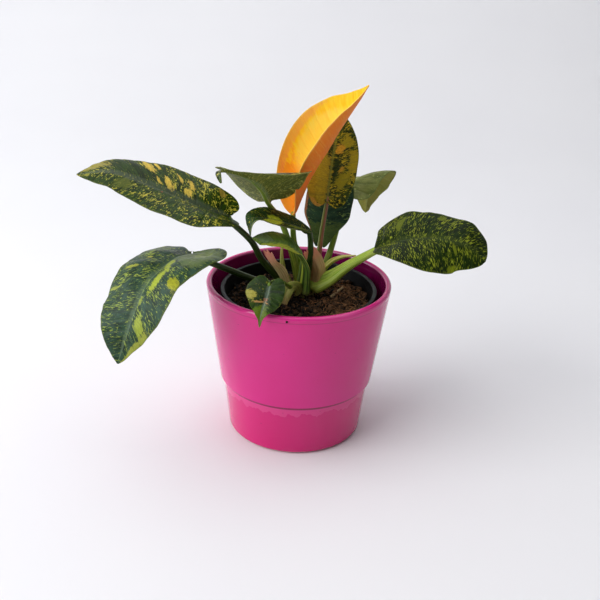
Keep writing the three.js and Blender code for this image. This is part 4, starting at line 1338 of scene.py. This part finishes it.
def soil_spot(chance, margin):
    """A random place on the soil, in mm, clear of the stem and of the pot's wall by a margin."""
    while True:
        radius = (nursery_inner(SOIL_TOP) - margin) * math.sqrt(chance.random())
        angle = chance.uniform(0, FULL_TURN)
        x, y = radius * math.cos(angle), radius * math.sin(angle)
        if math.hypot(x - STEM_CENTRE[0], y - STEM_CENTRE[1]) > STEM_CLEARANCE:
            return x, y


def random_tone(chance, x, wet, painted_light, scatter):
    """A tone from 0 to 1, higher towards the right, where painted light lightens the soil."""
    # Painted light: the tone rises towards the right, where the soil is painted as lit
    usual = wet + painted_light * smooth((x - SOIL_LIGHT_FROM) / SOIL_LIGHT_RUN)
    return min(max(chance.gauss(usual, scatter), 0), 1)


def crumb_shapes(chance):
    """A few crumbs of peat: small balls squashed and knocked out of round, 1 mm in radius."""
    shapes = []
    for number in range(CRUMB_SHAPES):
        bpy.ops.object.select_all(action="DESELECT")
        bpy.ops.mesh.primitive_ico_sphere_add(subdivisions=1 + number % 2, radius=1)
        ball = bpy.context.object
        stretch = Vector((chance.uniform(0.9, 1.8), chance.uniform(0.7, 1.2), chance.uniform(0.5, 0.9)))
        knock = Vector((chance.uniform(0, 50), 0, 0))
        spots = []
        for vertex in ball.data.vertices:
            rough = 1 + 0.5 * noise.noise(vertex.co * 1.6 + knock)
            spots.append(vertex.co * stretch * rough)
        shapes.append((spots, [tuple(face.vertices) for face in ball.data.polygons]))
        bpy.data.meshes.remove(ball.data)
    return shapes


def add_crumb(litter, chance, shapes):
    """A crumb of any shape and size, turned any way, half sunk or just lying on the soil."""
    x, y = soil_spot(chance, CRUMB_MARGIN)
    size = chance.choice(CRUMB_SIZES) * chance.uniform(0.8, 1.3)
    spots, faces = chance.choice(shapes)
    axis = Vector((chance.random(), chance.random(), chance.random() + 0.1))
    turn = Matrix.Rotation(chance.uniform(0, 6.3), 3, axis)
    centre = Vector((x, y, soil_height(x, y) + size * chance.uniform(-0.1, 0.5)))
    tone = random_tone(chance, x, *CRUMB_TONE)
    litter.add([(turn @ spot * size + centre) * MM for spot in spots], faces, tone)


def add_fibre(litter, chance):
    """A thin curved fibre of coir or root, with four sides and pointed ends, that arches over the soil."""
    x, y = soil_spot(chance, FIBRE_MARGIN)
    angle = chance.uniform(0, FULL_TURN)
    length = chance.uniform(3, 12)
    turn = chance.uniform(-0.5, 0.5)
    radius = chance.uniform(0.1, 0.34)
    rise = chance.uniform(0.2, 1.8)
    tone = random_tone(chance, x, *FIBRE_TONE)
    spots = []
    for step in range(FIBRE_STEPS + 1):
        share = step / FIBRE_STEPS
        centre = Vector((x, y, soil_height(x, y) + 0.3 + rise * math.sin(math.pi * share)))
        heading = Vector((math.cos(angle), math.sin(angle), 0))
        side = Vector((-heading.y, heading.x, 0))
        size = radius * (1 - 0.6 * abs(2 * share - 1))
        for way in (side, UPWARDS, -side, -UPWARDS):
            spots.append((centre + way * size) * MM)
        x += heading.x * length / FIBRE_STEPS
        y += heading.y * length / FIBRE_STEPS
        angle += turn
    last = 4 * FIBRE_STEPS
    faces = [(3, 2, 1, 0), (last, last + 1, last + 2, last + 3)]
    for ring in range(0, last, 4):
        for index in range(4):
            after = (index + 1) % 4
            faces.append((ring + index, ring + after, ring + 4 + after, ring + 4 + index))
    litter.add(spots, faces, tone)


def soil_litter():
    """The loose crumbs on the soil, one more that sticks to the cover pot's rim, and the fibres."""
    chance = random.Random(LITTER_SEED)
    shapes = crumb_shapes(chance)
    crumbs = Litter()
    for _ in range(CRUMB_COUNT):
        add_crumb(crumbs, chance, shapes)
    spots, faces = shapes[1]
    angle = math.radians(STUCK_CRUMB_ANGLE)
    centre = Vector((math.cos(angle), math.sin(angle), 0)) * STUCK_CRUMB_RADIUS + UPWARDS * STUCK_CRUMB_HEIGHT
    crumbs.add([(spot * STUCK_CRUMB_SIZE + centre) * MM for spot in spots], faces, STUCK_CRUMB_TONE)
    fibres = Litter()
    for _ in range(FIBRE_COUNT):
        add_fibre(fibres, chance)
    for name, litter, material in (
        ("soil_crumbs", crumbs, soil_finish("peat crumbs", rgb(9, 6, 5), rgb(124, 88, 58))),
        ("soil_fibres", fibres, soil_finish("coir fibres", rgb(26, 15, 9), rgb(160, 112, 72))),
    ):
        piece = litter.piece(name)
        edit(piece, (bpy.ops.mesh.normals_make_consistent, {"inside": False}))
        paint_piece(piece, material)
        shade(piece, 60)
        settle(piece, "soil")


def twig():
    """A dry bit of stick that lies on the soil."""
    line = Path([(x, y, soil_height(x, y) + TWIG_LIFT) for x, y in TWIG])
    thick, loss = TWIG_RADII
    places = []
    for step in range(TWIG_STEPS + 1):
        share = step / TWIG_STEPS
        along = share * line.length
        tangent = line.tangent(along)
        side = tangent.cross(UPWARDS).normalized()
        over = side.cross(tangent)
        radius = (thick - loss * share) * dome(min(1, share / TWIG_END, (1 - share) / TWIG_END))
        for turn in range(TWIG_SIDES + 1):
            angle = FULL_TURN * turn / TWIG_SIDES
            way = side * math.cos(angle) + over * math.sin(angle)
            knots = 1 + 0.3 * noise.noise(way * 0.8 + Vector((along * 0.4, 0, 0)))
            places.append(line.at(along) + way * radius * knots)
    piece = grid_piece("dry_twig", TWIG_STEPS, TWIG_SIDES)
    lay(piece, places)
    weld(piece)
    write_tones(piece, [TWIG_TONE] * len(piece.data.vertices))
    paint_piece(piece, soil_finish("dry wood", rgb(96, 74, 50), rgb(206, 178, 134), scale=700))
    shade(piece, 60)
    settle(piece, "soil")


def stem():
    """The short stem, knobbly all round."""
    piece = turned_piece("stem_knobbly", STEM_OUTLINE, STEM_SIDES)
    spots = []
    for vertex in piece.data.vertices:
        place = vertex.co / MM
        outwards = Vector((place.x, place.y, 0))
        if outwards.length > 0.5:
            vertex.co += outwards.normalized() * (STEM_KNOBS * noise.noise(place * 0.5)) * MM
        vertex.co += Vector((*STEM_CENTRE, 0)) * MM
        around = math.atan2(vertex.co.y, vertex.co.x) / STEM_MAP_TURN + 0.5
        height = vertex.co.z / MM
        spots.append((vertex.co, around, height / STEM_MAP_HEIGHT, around * STEM_GIRTH, height))
    write_layout(piece, spots)
    paint_piece(piece, stalk_finish("stem", **STEM_LOOK))
    shade(piece, 60)
    settle(piece, "green_stalk", "stem")


def leaves():
    stalks = {name: stalk_finish(name.replace("_", " "), **look) for name, look in STALK_LOOKS.items()}
    for name, leaf in LEAVES.items():
        upper = leaf_finish(f"{name} upper side", LOOKS[name])
        lower = leaf_finish(f"{name} underside", LOOKS[name], under=True)
        blade = blade_piece(f"{name}_marbled", leaf, (upper, lower))
        settle(blade, "new_leaf" if name == NEW_LEAF else "variegated_leaf", f"{name}_blade")
        stalk = stalk_piece(f"{name}_petiole", leaf, stalks[leaf.get("stalk_paint", leaf["stalk_look"])])
        settle(stalk, leaf["stalk_look"], f"{name}_stalk")


def bracts():
    for name, bract in BRACTS.items():
        material = bract_finish(f"{name} paper", **BRACT_LOOKS[name])
        piece = blade_piece(f"{name}_papery", bract, (material, material), rows=40, columns=10,
                            thickness=0.6, rib_depth=0.2, relief=0.05)
        settle(piece, "bract", name)


# Stage, light and camera

def backdrop():
    """A pale floor that curves up behind into a wall."""
    piece = grid_piece("backdrop", FLOOR_ROWS, FLOOR_COLUMNS)
    for vertex in piece.data.vertices:
        run = (vertex.co.y / MM / 2 + 0.5) * FLOOR_RUN
        turn = min(max((run - FLOOR_DEPTH) / FLOOR_BEND, 0), math.pi / 2)
        rest = max(0, run - FLOOR_DEPTH - FLOOR_BEND * math.pi / 2)
        y = FLOOR_FRONT + min(run, FLOOR_DEPTH) + FLOOR_BEND * math.sin(turn)
        z = FLOOR_BEND * (1 - math.cos(turn)) + rest - FLOOR_DROP
        vertex.co = Vector((math.copysign(FLOOR_HALF_WIDTH, vertex.co.x), y, z))
    paint = Finish("pale floor")
    body = paint.mix(paint.noise(paint.place(), scale=3), rgb(232, 232, 236), rgb(240, 240, 242))
    paint_piece(piece, paint.done(Base_Color=body, Roughness=0.9, Specular_IOR_Level=0.2))
    shade(piece, 80)


def softbox(name, place, target, size, power, colour):
    light = bpy.data.lights.new(name, "AREA")
    light.shape = "RECTANGLE"
    light.size, light.size_y = size
    light.energy = power
    light.color = colour
    lamp = bpy.data.objects.new(name, light)
    lamp.location = place
    lamp.rotation_euler = (Vector(target) - Vector(place)).to_track_quat("-Z", "Y").to_euler()
    bpy.context.scene.collection.objects.link(lamp)


def lights():
    for box in SOFTBOXES:
        softbox(*box)
    world = bpy.data.worlds.new("soft room")
    world.use_nodes = True
    room = world.node_tree.nodes["Background"].inputs
    room["Color"].default_value = ROOM_COLOUR
    room["Strength"].default_value = ROOM_STRENGTH
    bpy.context.scene.world = world
    bpy.context.scene.view_settings.view_transform = "Standard"


def camera():
    data = bpy.data.cameras.new("view")
    data.lens = CAMERA_LENS
    data.sensor_width = CAMERA_SENSOR
    data.clip_end = VIEW_DISTANCE
    eye = bpy.data.objects.new("view", data)
    right, up = Vector(CAMERA_RIGHT).normalized(), Vector(CAMERA_UP).normalized()
    back = right.cross(up)
    turn = Matrix((right, up, back)).transposed().to_4x4()
    eye.matrix_world = Matrix.Translation(Vector(CAMERA_PLACE) * MM) @ turn
    bpy.context.scene.collection.objects.link(eye)
    bpy.context.scene.camera = eye


camera()
lights()
backdrop()
cover_pot()
nursery_pot()
soil()
soil_litter()
twig()
stem()
leaves()
bracts()
